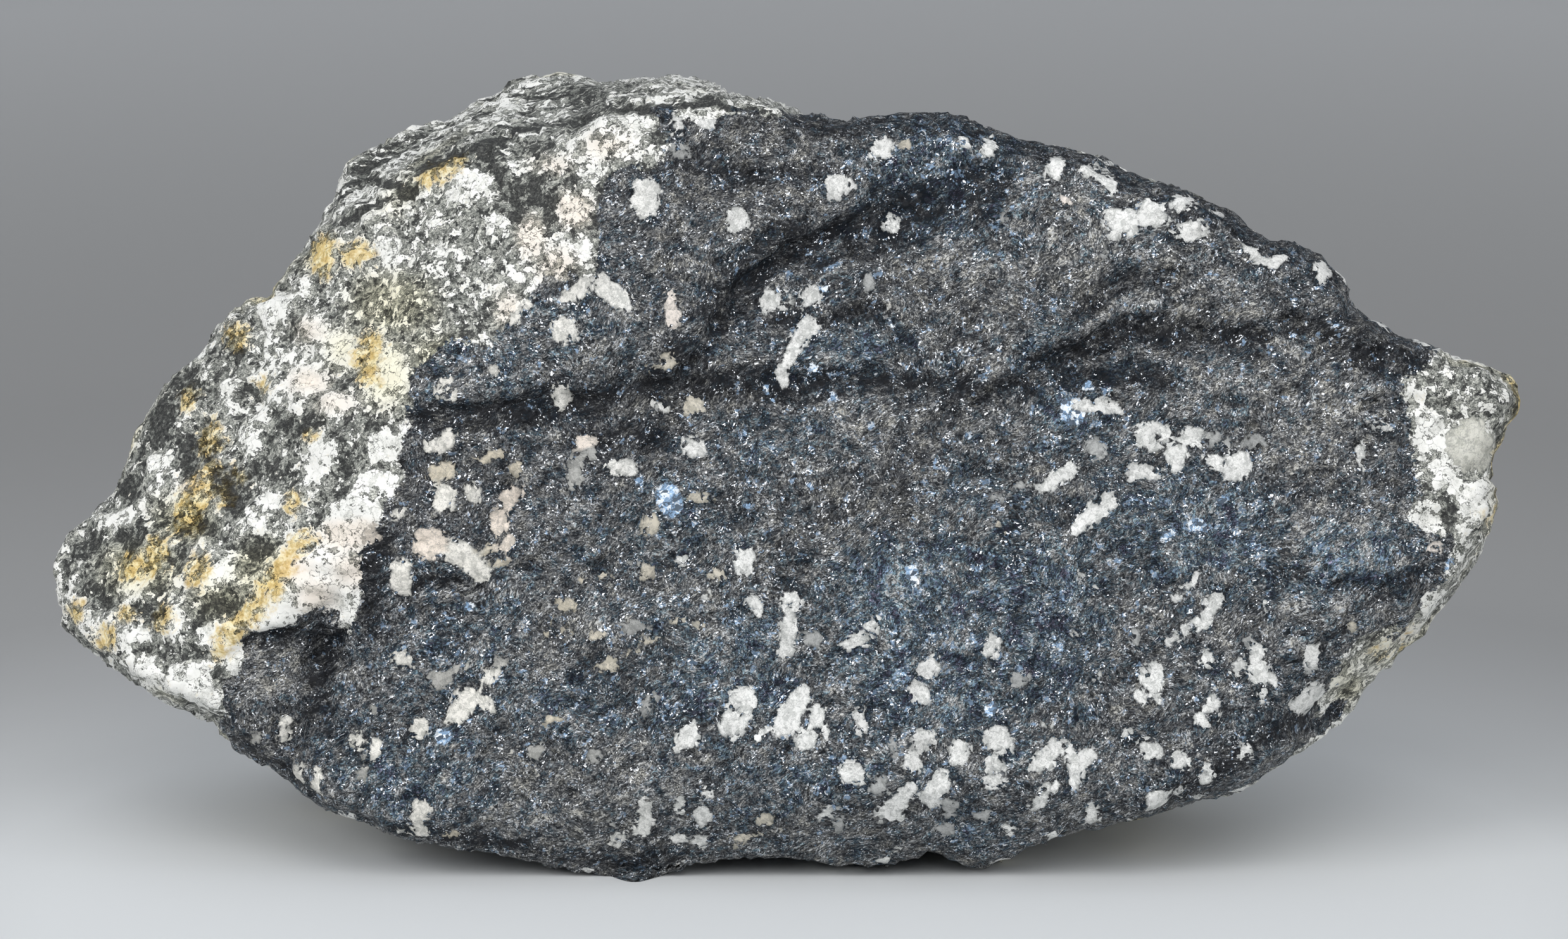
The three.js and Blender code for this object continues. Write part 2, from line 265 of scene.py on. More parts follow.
for axis, side, start, size in SKIN_SHEETS:
    chosen = (main_axis == axis) & (np.sign(faced[:, axis]) == side)
    across, up = (other for other in range(3) if other != axis)
    ways = quad_ways[chosen]
    turns = np.arctan2(ways[:, :, (across, up)], np.abs(ways[:, :, (axis,)])) / (math.pi / 4)
    skin_places[chosen] = start + (0.5 + 0.5 * turns / SKIN_OVERLAP) * size
fine_mesh.uv_layers.new(name=SKIN_MAP).uv.foreach_set("vector", skin_places.ravel())

# the same corners in the face frame, in millimetres
tilt = np.array([[1, 0, 0],
                 [0, math.sin(LEAN), math.cos(LEAN)],
                 [0, math.cos(LEAN), -math.sin(LEAN)]])
on_face = (points / MM + np.array(FACE_CORNER)) @ tilt
face_normals = normals @ tilt

# where the eye sees them on the face's sheet: twenty units to the millimetre, from its upper
# left corner, x to the right and y down
SHEET_SCALE = 20
SHEET_CORNER = (-62.0, 69.75)
nearness = 1 + on_face[:, 2] / EYE_DISTANCE
sheet = np.column_stack((
    (on_face[:, 0] / nearness - SHEET_CORNER[0]) * SHEET_SCALE,
    (SHEET_CORNER[1] - (AIM[1] + (on_face[:, 1] - AIM[1]) / nearness)) * SHEET_SCALE,
))
facing = -face_normals[:, 2]

# ---- The stone's host rock -------------------------------------------------------------------
# The older rock that the ore grew into: white knots of feldspar and calcite, black flakes and
# ochre stains in a grey-green ground, streaked at the top left. It takes up the left, the top,
# the lower right and all that lies behind the ore, and the two are one mass.

# outlines, corner by corner on the sheet; they close well outside the stone
HOST_LEFT = [
    (1300, 160), (1255, 186), (1200, 192), (1120, 200), (1045, 186), (1042, 225), (1012, 262),
    (972, 292), (948, 330), (950, 372), (940, 428), (905, 432), (862, 420), (846, 452), (822, 500),
    (793, 520), (739, 547), (650, 582), (663, 636), (623, 720), (641, 756), (603, 816), (562, 901),
    (571, 950), (554, 990), (522, 968), (491, 963), (446, 990), (402, 999), (379, 1044),
    (339, 1079), (346, 1124), (320, 1300), (-200, 1300), (-200, -200), (1300, -200),
]
HOST_RIGHT = [
    (2288, 560), (2270, 582), (2240, 594), (2204, 616), (2216, 650), (2226, 689), (2238, 718),
    (2241, 757), (2249, 778), (2246, 806), (2257, 833), (2299, 844), (2296, 872), (2288, 908),
    (2285, 926), (2249, 948), (2227, 966), (2188, 998), (2154, 1018), (2116, 1054), (2105, 1083),
    (2107, 1100), (2127, 1117), (2300, 1250), (2700, 1000), (2700, 500),
]
HOST_FRONT = 12.0        # depth behind the face at which the host rock takes over, in mm
BREAK_FRONT = -13.0      # w of the ore's face, in mm
HOST_WANDER = 9.0        # how far the back of the ore goes in and out, in mm
FACE_KEPT = 20.0         # how far that back is held off from what faces the eye, in mm

# ovals hold x, y, length, width and turn in degrees
WHITE_BLEBS = [          # single white knots
    (440, 950, 60, 50), (408, 984, 36, 28), (625, 472, 32, 28), (515, 712, 44, 30),
    (268, 862, 24, 22), (432, 483, 52, 50), (486, 602, 50, 40), (531, 640, 54, 34),
    (611, 590, 66, 100), (542, 552, 38, 50), (762, 297, 90, 38, -25), (618, 405, 34, 58),
    (694, 396, 34, 32), (654, 394, 26, 22), (720, 408, 36, 30), (784, 351, 50, 28, -20),
    (876, 190, 62, 24, 18), (502, 524, 36, 30), (408, 598, 28, 28), (606, 705, 50, 44),
    (642, 690, 22, 36), (595, 762, 70, 32), (428, 790, 36, 30), (500, 748, 26, 22),
    (565, 825, 80, 76), (520, 905, 92, 58), (525, 962, 72, 50), (454, 985, 50, 22),
    (330, 1085, 40, 70), (250, 724, 34, 40), (166, 821, 30, 20), (340, 915, 60, 20, 25),
    (211, 940, 24, 24), (209, 1009, 44, 44), (262, 1068, 124, 50, -22), (318, 1080, 70, 76),
    (344, 1005, 62, 46), (365, 1040, 46, 56), (405, 700, 24, 20), (360, 610, 26, 18),
    (480, 850, 30, 20), (1110, 168, 96, 10), (1190, 174, 90, 8), (590, 330, 60, 26, 40),
    (800, 168, 44, 22), (2262, 682, 60, 54), (2268, 742, 50, 54), (2325, 797, 58, 62),
    (2228, 624, 40, 18), (2236, 650, 26, 16, 20), (2268, 945, 52, 16, 40), (2248, 966, 40, 14, 40),
    (2234, 996, 44, 18, 45), (2200, 1014, 40, 14, 40), (2163, 1060, 46, 20, 20),
    (2120, 1078, 34, 22, 20), (2148, 1092, 14, 24), (2118, 1104, 20, 14), (2352, 640, 30, 12, 20),
    (2262, 822, 22, 20), (2205, 990, 20, 14),
]
DARK_BLEBS = [           # single black flakes and patches
    (835, 246, 80, 44, 15), (790, 262, 50, 26, 20), (168, 950, 50, 32), (875, 236, 40, 26),
    (345, 1066, 26, 34), (259, 1047, 18, 66), (342, 957, 104, 32, 20), (221, 1023, 34, 18),
    (281, 886, 28, 42), (408, 865, 54, 40), (358, 760, 42, 50), (470, 672, 66, 34),
    (256, 650, 48, 54), (288, 597, 42, 44), (137, 865, 56, 38), (204, 850, 50, 38),
    (928, 150, 70, 44), (1046, 205, 34, 56), (830, 308, 84, 40), (861, 351, 24, 52),
    (740, 235, 120, 16, 20), (230, 960, 38, 22), (440, 740, 38, 36), (330, 830, 38, 28),
    (640, 300, 50, 16, 15), (375, 560, 28, 22), (560, 300, 60, 16, 35), (860, 145, 90, 22),
    (2255, 731, 16, 14), (2258, 752, 16, 16), (2268, 720, 10, 10), (2130, 1088, 18, 22),
    (2345, 650, 34, 16), (2290, 812, 30, 50), (2280, 640, 50, 20), (700, 240, 80, 14, 30),
    (790, 300, 24, 56), (872, 330, 26, 66), (880, 284, 60, 12), (812, 340, 26, 40),
    (805, 398, 40, 18, -30), (955, 300, 30, 50), (900, 366, 60, 14), (862, 438, 50, 14),
    (870, 350, 20, 60), (950, 400, 16, 50), (846, 405, 40, 16), (830, 300, 60, 50),
    (905, 290, 40, 20), (1000, 262, 30, 16), (765, 330, 16, 40), (249, 688, 34, 60),
    (293, 742, 30, 40), (205, 775, 40, 50), (371, 800, 26, 50), (790, 440, 20, 30),
    (860, 470, 24, 30), (900, 430, 50, 14), (150, 930, 44, 24), (2225, 978, 50, 10, 40),
]
DULL_ZONES = [       # places with fewer white knots
    (270, 730, 300, 300), (560, 640, 160, 120), (850, 260, 280, 190), (484, 544, 130, 100),
    (700, 440, 160, 130), (2298, 585, 90, 60),
]
GREY_ZONES = [       # finely granular grey places
    (720, 430, 190, 150), (650, 500, 150, 110), (714, 338, 60, 66), (820, 400, 50, 50),
    (600, 640, 60, 50), (2330, 630, 160, 70), (2310, 900, 110, 44, 60), (2140, 1085, 60, 60),
    (2345, 850, 60, 60), (162, 905, 40, 30),
]
HOST_SEAMS_AND_SHADOW = [       # paths and widths of black seams; along the top they are in part the painted shadow under the ledge
    ([(655, 266), (700, 246), (746, 230), (800, 213)], 18),
    ([(800, 213), (842, 202), (893, 193), (938, 178), (1020, 170)], 12),
    ([(1020, 170), (1130, 164), (1200, 176)], 8),
    ([(540, 352), (600, 318), (655, 300)], 8),
    ([(556, 270), (600, 285), (650, 300)], 8),
]
BANDED = [           # places where the rock is finely streaked
    (600, 285, 130, 120), (700, 215, 130, 60, 25), (820, 150, 120, 60), (1130, 160, 240, 60, -5),
]
OCHRE_STAINS = [     # both ends and the width of each streak
    (372, 512, 372, 552, 36), (295, 648, 300, 612, 28), (334, 664, 328, 720, 40),
    (328, 750, 284, 842, 42), (257, 850, 236, 908, 34), (211, 876, 204, 918, 32),
    (464, 776, 464, 812, 28), (488, 842, 416, 944, 28), (424, 944, 352, 1012, 36),
    (320, 876, 308, 930, 34), (272, 964, 242, 992, 32), (178, 990, 158, 1022, 34),
    (125, 952, 121, 980, 22), (350, 1000, 345, 1044, 20), (588, 526, 576, 608, 34),
    (511, 368, 511, 440, 36), (540, 408, 590, 396, 34), (662, 288, 738, 250, 28),
    (342, 726, 328, 750, 26), (2215, 1008, 2240, 1000, 14), (2170, 1040, 2196, 1030, 14),
    (2345, 818, 2345, 834, 14), (192, 966, 208, 976, 24), (413, 596, 420, 622, 18),
    (350, 756, 358, 800, 22), (484, 686, 496, 690, 14), (366, 742, 384, 760, 18),
]
PALE_YELLOW = [          # places stained a pale yellow
    (611, 590, 74, 104), (542, 552, 44, 56), (500, 400, 60, 40), (640, 300, 60, 24, 40),
    (410, 900, 90, 90), (350, 950, 90, 60), (220, 900, 120, 80), (620, 480, 130, 90),
    (290, 820, 90, 70), (2130, 1085, 50, 50), (2200, 1030, 90, 40, 40), (690, 560, 80, 60),
]
PINK_TINTS = [           # places with a faint pink
    (486, 604, 50, 36), (529, 638, 54, 28), (487, 524, 40, 30), (907, 330, 56, 50),
    (550, 850, 70, 36), (500, 940, 60, 50), (900, 500, 60, 30, -30), (868, 258, 50, 24),
    (838, 362, 40, 40), (300, 760, 24, 20), (802, 491, 40, 50), (880, 420, 60, 50),
    (560, 900, 70, 50), (470, 900, 50, 40), (960, 230, 60, 30),
]

LATTICE = 64


def random_field(places, spacing, seed):
    """A smooth random field from -1 to 1, with lumps about spacing apart."""
    lattice = np.random.default_rng(seed).uniform(-1, 1, (LATTICE,) * 3)
    scaled = places / spacing
    cell = np.floor(scaled).astype(int)
    share = scaled - cell
    share = share * share * (3 - 2 * share)
    total = np.zeros(len(places))
    for corner in itertools.product((0, 1), repeat=3):
        weight = np.prod(np.where(corner, share, 1 - share), axis=1)
        at = (cell + corner) % LATTICE
        total += weight * lattice[at[:, 0], at[:, 1], at[:, 2]]
    return total


def rough_field(places, spacing, seed, octaves=3, fade=0.55):
    """Random lumps with smaller ones on them."""
    total, weight, full = 0.0, 1.0, 0.0
    for octave in range(octaves):
        total = total + weight * random_field(places, spacing / 2 ** octave, seed + octave)
        full += weight
        weight *= fade
    return total / full


def ease(value, low, high):
    """0 below low, 1 above high, smooth between."""
    share = np.clip((value - low) / (high - low), 0, 1)
    return share * share * (3 - 2 * share)


def depth_inside(places, outline):
    """How deep each place lies inside a closed outline, in sheet units; negative outside."""
    corners = np.array(outline, float)
    nearest = np.full(len(places), np.inf)
    inside = np.zeros(len(places), bool)
    for start, end in zip(corners, np.roll(corners, -1, axis=0)):
        side = end - start
        share = np.clip(((places - start) @ side) / (side @ side), 0, 1)
        nearest = np.minimum(nearest, np.linalg.norm(places - start - share[:, None] * side, axis=1))
        level = (start[1] > places[:, 1]) != (end[1] > places[:, 1])
        crossing = start[0] + (places[:, 1] - start[1]) * side[0] / (side[1] or 1e-9)
        inside ^= level & (places[:, 0] < crossing)
    return np.where(inside, nearest, -nearest)


BLOCKY = 2.6      # 2 would be a true oval; more is nearer to a box


def depth_in_ovals(places, ovals):
    """How deep each place lies in the deepest oval; x, y, length, width and turn of each."""
    deepest = np.full(len(places), -1000.0)
    for x, y, length, width, *turn in ovals:
        turned = math.radians(turn[0] if turn else 0)
        dx, dy = places[:, 0] - x, places[:, 1] - y
        along = (dx * math.cos(turned) - dy * math.sin(turned)) / (length / 2)
        across = (dx * math.sin(turned) + dy * math.cos(turned)) / (width / 2)
        reach = (np.abs(along) ** BLOCKY + np.abs(across) ** BLOCKY) ** (1 / BLOCKY)
        deepest = np.maximum(deepest, (1 - reach) * min(length, width) / 2)
    return deepest


def depth_in_bars(places, bars):
    """How deep each place lies in the deepest round-ended bar; x, y, x, y and width of each."""
    deepest = np.full(len(places), -1000.0)
    for x0, y0, x1, y1, width in bars:
        length = math.hypot(x1 - x0, y1 - y0)
        along = ((places[:, 0] - x0) * (x1 - x0) + (places[:, 1] - y0) * (y1 - y0)) / length
        across = ((places[:, 1] - y0) * (x1 - x0) - (places[:, 0] - x0) * (y1 - y0)) / length
        past_end = np.maximum(np.abs(along - length / 2) - max(length - width, 0) / 2, 0)
        deepest = np.maximum(deepest, width / 2 - np.hypot(across, past_end))
    return deepest


def bent_sheet(stray, spacing, seed):
    """The places on the sheet, moved at random so that what is drawn on them wanders."""
    return sheet + stray * np.column_stack((random_field(on_face, spacing, seed),
                                            random_field(on_face, spacing, seed + 1)))


host_sheet = bent_sheet(stray=24, spacing=3.2, seed=107)
host = np.maximum(depth_inside(host_sheet, HOST_LEFT), depth_inside(host_sheet, HOST_RIGHT))
host = host / SHEET_SCALE
behind = on_face[:, 2] - (BREAK_FRONT + HOST_FRONT)
behind += HOST_WANDER * rough_field(on_face, spacing=16, seed=3, octaves=5, fade=0.6)
host = np.maximum(host, behind - FACE_KEPT * ease(facing, 0.30, 0.45))

# 1 on the face, 0 on the flanks, back and underside, where nothing is drawn from the lists
seen = ease(facing, 0.12, 0.35)


def in_ovals(ovals, rim):
    """0 outside the drawn ovals, 1 inside, over a rim from so many mm out to so many in."""
    return ease(depth_in_ovals(sheet, ovals) / SHEET_SCALE, *rim) * seen


def in_bars(bars, rim):
    """The same for drawn bars."""
    return ease(depth_in_bars(sheet, bars) / SHEET_SCALE, *rim) * seen


def legs_of(seams):
    """The straight legs of seams, each a path and a width, as bars."""
    return [(*start, *end, width) for path, width in seams for start, end in zip(path, path[1:])]


def drawn_over(layer, share, tone, cover):
    """A layer with a tone laid where the share is 1; the cover is how much of the layer it hides."""
    return layer * (1 - cover * share) + tone * share


# the rock's sheets lie along the face, so its spots are flat lumps that show as bands at the side
FLATTEN = 1.6
FLOW = math.radians(30)      # the bands and sheets run up to the right across the face
turned_to_flow = np.array([[math.cos(FLOW), -math.sin(FLOW), 0],
                           [math.sin(FLOW), math.cos(FLOW), 0],
                           [0, 0, 1]])
sheets = on_face * (1, 1, FLATTEN)
along_bands = on_face @ turned_to_flow * (0.22, 1.0, FLATTEN)

# how much the rock is knot (above nothing) or black flake (below), in swings of its noise
KNOT_SWING, KNOT_SHARE, BAND_SWING = 0.75, 0.20, 0.7
STAINED_KNOTS, DULLED_KNOTS = 0.8, 0.55
ochre = in_bars(OCHRE_STAINS, rim=(-1.1, 0.7))
mottle = rough_field(sheets, spacing=2.6, seed=41, octaves=4, fade=0.62)
mottle = KNOT_SWING * mottle / mottle.std() + KNOT_SHARE
mottle += BAND_SWING * rough_field(along_bands, spacing=4.5, seed=45)
mottle += STAINED_KNOTS * ochre
mottle -= DULLED_KNOTS * in_ovals(DULL_ZONES, rim=(-2.0, 2.0))
mottle = drawn_over(mottle, in_ovals(WHITE_BLEBS, rim=(-0.35, 0.35)), tone=2.4, cover=0.75)
mottle = drawn_over(mottle, in_ovals(DARK_BLEBS, rim=(-0.3, 0.4)), tone=-1.9, cover=0.7)
mottle = drawn_over(mottle, in_ovals(GREY_ZONES, rim=(-1.0, 1.0)), tone=0.0, cover=0.7)
# black seams, along the top in part the painted shadow of the ledge there
mottle = drawn_over(mottle, in_bars(legs_of(HOST_SEAMS_AND_SHADOW), rim=(-0.3, 0.1)), tone=-3.5, cover=1.0)

# the weathered back has stains of its own
BACK_OCHRE = 0.8
stain_noise = rough_field(on_face, spacing=7.0, seed=51)
back_ochre = BACK_OCHRE * ease(stain_noise, 0.30, 0.55) * (1 - seen)
back_yellow = ease(stain_noise, 0.1, 0.5) * (1 - seen)
stone_layers = {
    "host": host,
    "mottle": mottle,
    "ochre": np.maximum(ochre, back_ochre),
    "yellow": np.maximum(in_ovals(PALE_YELLOW, rim=(-1.2, 1.2)), back_yellow),
    "pink": in_ovals(PINK_TINTS, rim=(-0.9, 0.9)),
    "banded": in_ovals(BANDED, rim=(-1.0, 1.0)),
}

# ---- The stone's ore -------------------------------------------------------------------------
# A fine dark mass of copper sulfide grains, tarnished to blue, violet and brown. It fills the
# middle of the face as one slab that has split along smeared seams, darkened in part with
# painted shade, with granular grey places in it and a few larger grains whose glints are
# painted highlights.

BLUE_ZONES = [           # where the tarnish is blue
    (1500, 290, 240, 210), (1510, 1000, 470, 300), (1880, 840, 260, 150), (745, 520, 130, 90),
    (680, 1240, 180, 140), (1060, 790, 70, 90), (1700, 660, 130, 90), (720, 1015, 180, 90),
    (1150, 1050, 300, 160), (1350, 560, 160, 80), (1250, 700, 160, 60), (2150, 880, 160, 90),
    (1645, 534, 90, 80), (895, 1127, 180, 90), (1282, 1236, 200, 80), (1512, 1318, 90, 60),
    (1548, 776, 120, 80), (1778, 873, 90, 60),
]
BROWN_ZONES = [          # where it is brown
    (1200, 270, 230, 150), (1580, 480, 400, 200), (2090, 650, 200, 320), (850, 1240, 320, 200),
    (1370, 730, 280, 240), (1000, 1000, 280, 120), (1120, 620, 200, 80), (1850, 470, 200, 120),
    (1600, 760, 160, 100), (1350, 1290, 220, 80), (1000, 700, 140, 100), (700, 780, 240, 220),
    (1620, 338, 130, 110), (2044, 508, 140, 90), (1300, 1060, 120, 120), (1778, 1112, 140, 110),
    (665, 955, 120, 70), (420, 1060, 160, 120),
]
DARK_SEAMS_AND_SHADE = [       # paths of the dark smeared seams, and their widths; their darkness is in part painted shade under the ledges
    ([(1045, 600), (1105, 532), (1150, 450), (1225, 405), (1330, 375), (1454, 368)], 62),
    ([(1200, 384), (1300, 361), (1400, 350), (1480, 330)], 44),
    ([(1380, 330), (1490, 310), (1600, 300)], 70),
    ([(1692, 499), (1760, 455), (1815, 438), (1875, 455)], 32),
    ([(1630, 584), (1738, 530), (1892, 522), (2007, 545)], 38),
    ([(1677, 607), (1780, 596), (1861, 591)], 30),
    ([(2015, 499), (2123, 545), (2200, 568), (2260, 575)], 40),
    ([(1200, 622), (1300, 622), (1430, 607), (1630, 622)], 30),
    ([(850, 634), (955, 626), (1075, 615), (1200, 600), (1330, 600)], 40),
    ([(650, 655), (780, 655), (900, 645), (1000, 620)], 34),
    ([(1246, 199), (1331, 195), (1392, 184)], 22),
    ([(1531, 195), (1631, 230), (1708, 242), (1815, 291)], 24),
    ([(730, 222), (805, 216), (895, 206)], 18),
    ([(870, 290), (880, 340), (862, 400)], 22),
    ([(380, 1002), (440, 996), (492, 992), (560, 972)], 30),
    ([(575, 850), (570, 960), (520, 1010), (500, 1090), (520, 1170)], 44),
    ([(600, 840), (575, 940), (590, 1010)], 36),
    ([(630, 932), (730, 922), (780, 932)], 22),
    ([(360, 1160), (500, 1280), (630, 1320), (800, 1360), (960, 1390), (1090, 1385)], 34),
    ([(2071, 1035), (2149, 957), (2253, 897), (2304, 862)], 20),
    ([(1994, 914), (2218, 923)], 16),
    ([(1850, 1270), (1980, 1180), (2080, 1130), (2160, 1100)], 30),
    ([(900, 700), (980, 690), (1050, 700)], 24),
    ([(1200, 520), (1300, 505), (1400, 500)], 24),
    ([(1020, 255), (1120, 270), (1280, 285)], 14),
]
PALE_ZONES = [       # granular grey places
    (1608, 315, 66, 66), (1723, 307, 80, 84), (1546, 426, 190, 60, 10), (2030, 520, 150, 80, -20),
    (1350, 650, 120, 60), (1960, 620, 160, 90), (2060, 700, 120, 120), (880, 1290, 160, 90),
    (1120, 540, 90, 60, 30), (960, 980, 200, 60), (1900, 450, 120, 50, -20), (420, 1060, 110, 90),
    (740, 930, 120, 70), (2080, 640, 180, 110), (1650, 360, 120, 60), (1778, 430, 150, 220),
    (2120, 900, 160, 220), (1427, 931, 120, 90), (1500, 1113, 100, 80),
]
GLINT_HIGHLIGHTS = [               # single grains whose glint is a painted highlight
    (1057, 790, 40, 56, 20), (1694, 650, 40, 44), (1440, 905, 22, 26), (1448, 923, 10, 10),
    (1890, 830, 30, 24), (1315, 422, 36, 7, 25), (1279, 399, 12, 10), (1523, 225, 14, 12),
    (1402, 321, 16, 12), (1286, 580, 18, 16), (1315, 625, 14, 22, 30), (1375, 674, 12, 16),
    (1489, 473, 16, 12), (1409, 511, 18, 12), (1529, 689, 12, 14), (701, 1164, 28, 26),
    (1476, 1004, 26, 12), (1192, 925, 8, 12), (1845, 845, 26, 16, 40), (1640, 980, 20, 12),
    (2288, 893, 14, 26, -20), (1210, 615, 12, 18), (1180, 800, 16, 12), (1930, 790, 26, 14, 20),
    (890, 455, 14, 12), (1300, 455, 20, 12), (1720, 610, 20, 16), (1565, 1120, 20, 26),
    (1270, 1180, 14, 12), (740, 960, 20, 14), (1010, 760, 14, 20),
]

TOP_DARKNESS = 0.55      # how dark the ore is where it faces up, beside a seam's 1

# one slow swing goes through all these places, so that none of them ends where it was drawn
WARBLE = 0.25
warble = WARBLE * rough_field(on_face, spacing=5.0, seed=61)
blue = in_ovals(BLUE_ZONES, rim=(-3.0, 3.0)) + warble + 0.15
brown = in_ovals(BROWN_ZONES, rim=(-2.5, 2.5)) - warble + 0.1
pale = in_ovals(PALE_ZONES, rim=(-1.6, 1.6)) + 0.4 * warble
# the seams are dark ore and, in part, painted shade under the ledges beside them
seam_sheet = bent_sheet(stray=12, spacing=3.0, seed=105)
seam_depth = depth_in_bars(seam_sheet, legs_of(DARK_SEAMS_AND_SHADE)) / SHEET_SCALE
in_seam = ease(seam_depth, -1.0, 0.9) * seen
seam_shade_and_top_darkness = np.maximum(in_seam, TOP_DARKNESS * ease(normals[:, 2], 0.35, 0.75)) + 0.45 * warble
stone_layers["blue"] = np.clip(blue, 0, 1)
stone_layers["brown"] = np.clip(brown, 0, 1)
stone_layers["dark"] = np.clip(seam_shade_and_top_darkness, 0, 1)
stone_layers["pale"] = np.clip(pale, 0, 1)
stone_layers["glint_highlight"] = np.where(seen > 0, depth_in_ovals(sheet, GLINT_HIGHLIGHTS) / SHEET_SCALE, -1)

# ---- The stone's white grains ----------------------------------------------------------------
# Calcite and feldspar that grew with the ore and are held in it: single blocky grains and bars,
# a pink, a cream and a grey kind beside the white, and larger knots where the ore meets the
# host rock.

# ovals and bars on the sheet, as in the host rock
WHITE_GRAINS = [
    # along the top and the upper right
    (981, 199, 108, 48, 5), (985, 236, 44, 52), (934, 258, 60, 40, 55), (893, 222, 38, 24),
    (823, 254, 50, 32), (870, 248, 42, 26), (923, 396, 28, 58), (884, 390, 44, 30, 50),
    (818, 439, 26, 34), (847, 434, 26, 16), (802, 491, 42, 54), (833, 482, 20, 18),
    (896, 523, 38, 36), (1017, 312, 48, 58), (1111, 193, 46, 26), (1070, 197, 18, 38),
    (1169, 346, 34, 34), (1396, 235, 32, 44), (1325, 293, 50, 34), (1405, 350, 26, 32),
    (1564, 234, 24, 38), (1526, 226, 16, 14), (1665, 265, 28, 46), (1752, 288, 32, 36),
    (1725, 271, 28, 22), (1774, 350, 62, 44), (1818, 338, 46, 42), (1868, 318, 44, 28),
    (1879, 363, 50, 26), (1925, 334, 26, 14), (1760, 380, 12, 16), (2089, 427, 26, 30),
    (1223, 476, 48, 30), (1281, 468, 46, 36), (1235, 590, 16, 30),
    # the left, between the host rock and the middle
    (705, 616, 32, 38), (785, 585, 20, 22), (885, 630, 28, 36), (692, 402, 30, 30),
    (697, 701, 52, 36), (700, 788, 38, 46), (748, 781, 24, 32), (635, 914, 38, 58),
    (625, 812, 20, 18), (980, 740, 52, 28), (1096, 708, 36, 28), (1085, 889, 26, 18),
    (638, 1041, 36, 28), (747, 1048, 12, 12), (778, 1066, 32, 20), (664, 1150, 32, 32),
    (564, 1171, 22, 24), (592, 1182, 22, 24), (474, 1222, 16, 26), (500, 1240, 16, 48),
    (629, 1318, 22, 14), (1040, 645, 26, 16),
    # the lower middle
    (1173, 889, 34, 47), (1191, 955, 30, 34), (1117, 939, 20, 18), (1250, 950, 36, 34),
    (1352, 1013, 46, 24, 20), (1379, 983, 22, 18), (1563, 1022, 28, 42), (1470, 1058, 48, 30, 40),
    (1455, 1097, 30, 38), (1198, 1158, 18, 26), (1295, 1135, 28, 34), (1303, 1165, 14, 32),
    (1270, 1170, 30, 38), (1360, 1137, 22, 46), (1083, 1163, 56, 34, 52), (1460, 1170, 36, 32),
    (1442, 1205, 34, 34), (1517, 1188, 28, 42), (1578, 1170, 42, 38), (1573, 1206, 28, 20),
    (1572, 1234, 48, 26), (1344, 1223, 38, 36), (1402, 1292, 44, 34, 15), (1073, 1281, 16, 42),
    (1108, 1298, 28, 44), (1113, 1253, 20, 12), (1071, 1341, 32, 18), (1104, 1344, 42, 14),
    (1307, 1287, 34, 14, 40), (1724, 1294, 26, 36), (1828, 1270, 36, 34), (1865, 1260, 16, 24),
    (1731, 1066, 20, 20), (1658, 1145, 14, 14), (1780, 1159, 20, 22), (1823, 1184, 34, 32),
    (1862, 1200, 32, 34), (1697, 1002, 14, 18), (1706, 910, 22, 18), (1732, 932, 14, 12),
    (1565, 1368, 20, 14), (1595, 1325, 18, 18), (1413, 1359, 18, 14), (1785, 1293, 22, 14),
    (1705, 1200, 42, 34), (1700, 1226, 20, 40), (1330, 1362, 14, 10),
    # the right
    (1714, 643, 30, 20), (1752, 644, 44, 30), (1819, 688, 66, 46), (1855, 724, 30, 42),
    (1886, 692, 44, 34), (1806, 746, 58, 26), (1921, 727, 34, 22), (1955, 735, 36, 42),
    (1940, 750, 20, 18), (2154, 721, 14, 30), (2185, 676, 28, 12), (1992, 957, 14, 14),
    (2050, 956, 20, 18), (1906, 1041, 20, 32), (1985, 1028, 26, 36), (1955, 1057, 42, 24, 40),
    (1987, 1060, 26, 34), (2007, 1073, 20, 16), (1993, 1100, 14, 28), (1915, 1114, 20, 38),
    (1903, 1138, 22, 20), (1904, 1223, 22, 36), (1965, 1186, 18, 26), (2070, 1038, 30, 48),
]
WHITE_BARS = [           # both ends and the width of each
    (885, 472, 932, 436, 26), (938, 440, 996, 488, 34), (1283, 500, 1241, 578, 26),
    (1969, 392, 2002, 416, 20), (1995, 416, 2034, 404, 18), (704, 858, 778, 914, 38),
    (706, 1138, 756, 1096, 30), (752, 1094, 780, 1124, 20), (456, 1130, 442, 1176, 18),
    (668, 1262, 661, 1330, 26), (1250, 936, 1238, 1042, 28), (1180, 1084, 1150, 1162, 40),
    (1278, 1090, 1222, 1166, 36), (1495, 1218, 1462, 1276, 30), (1448, 1238, 1388, 1308, 28),
    (1024, 1256, 1014, 1330, 22), (1016, 1316, 960, 1348, 16), (1708, 730, 1636, 782, 25),
    (1758, 776, 1738, 812, 20), (1744, 800, 1692, 840, 29), (1893, 898, 1879, 930, 14),
    (1884, 922, 1846, 942, 14), (1932, 942, 1888, 990, 27), (1898, 980, 1842, 1016, 15),
    (1823, 1044, 1820, 1096, 28), (1790, 1106, 1834, 1102, 21), (2086, 1084, 2046, 1128, 30),
    (1680, 1168, 1632, 1220, 28), (1669, 1230, 1629, 1284, 18),
]
PINK_GRAINS = [
    (907, 333, 60, 60), (838, 372, 42, 74), (683, 858, 50, 50), (730, 880, 40, 26, -35),
    (925, 697, 36, 26), (873, 262, 50, 18), (1059, 488, 24, 56), (551, 845, 92, 46),
    (2228, 1003, 34, 20, 40), (1688, 319, 20, 16), (2267, 870, 20, 24), (808, 784, 44, 28, 55),
    (790, 822, 30, 40), (800, 858, 26, 28),
]
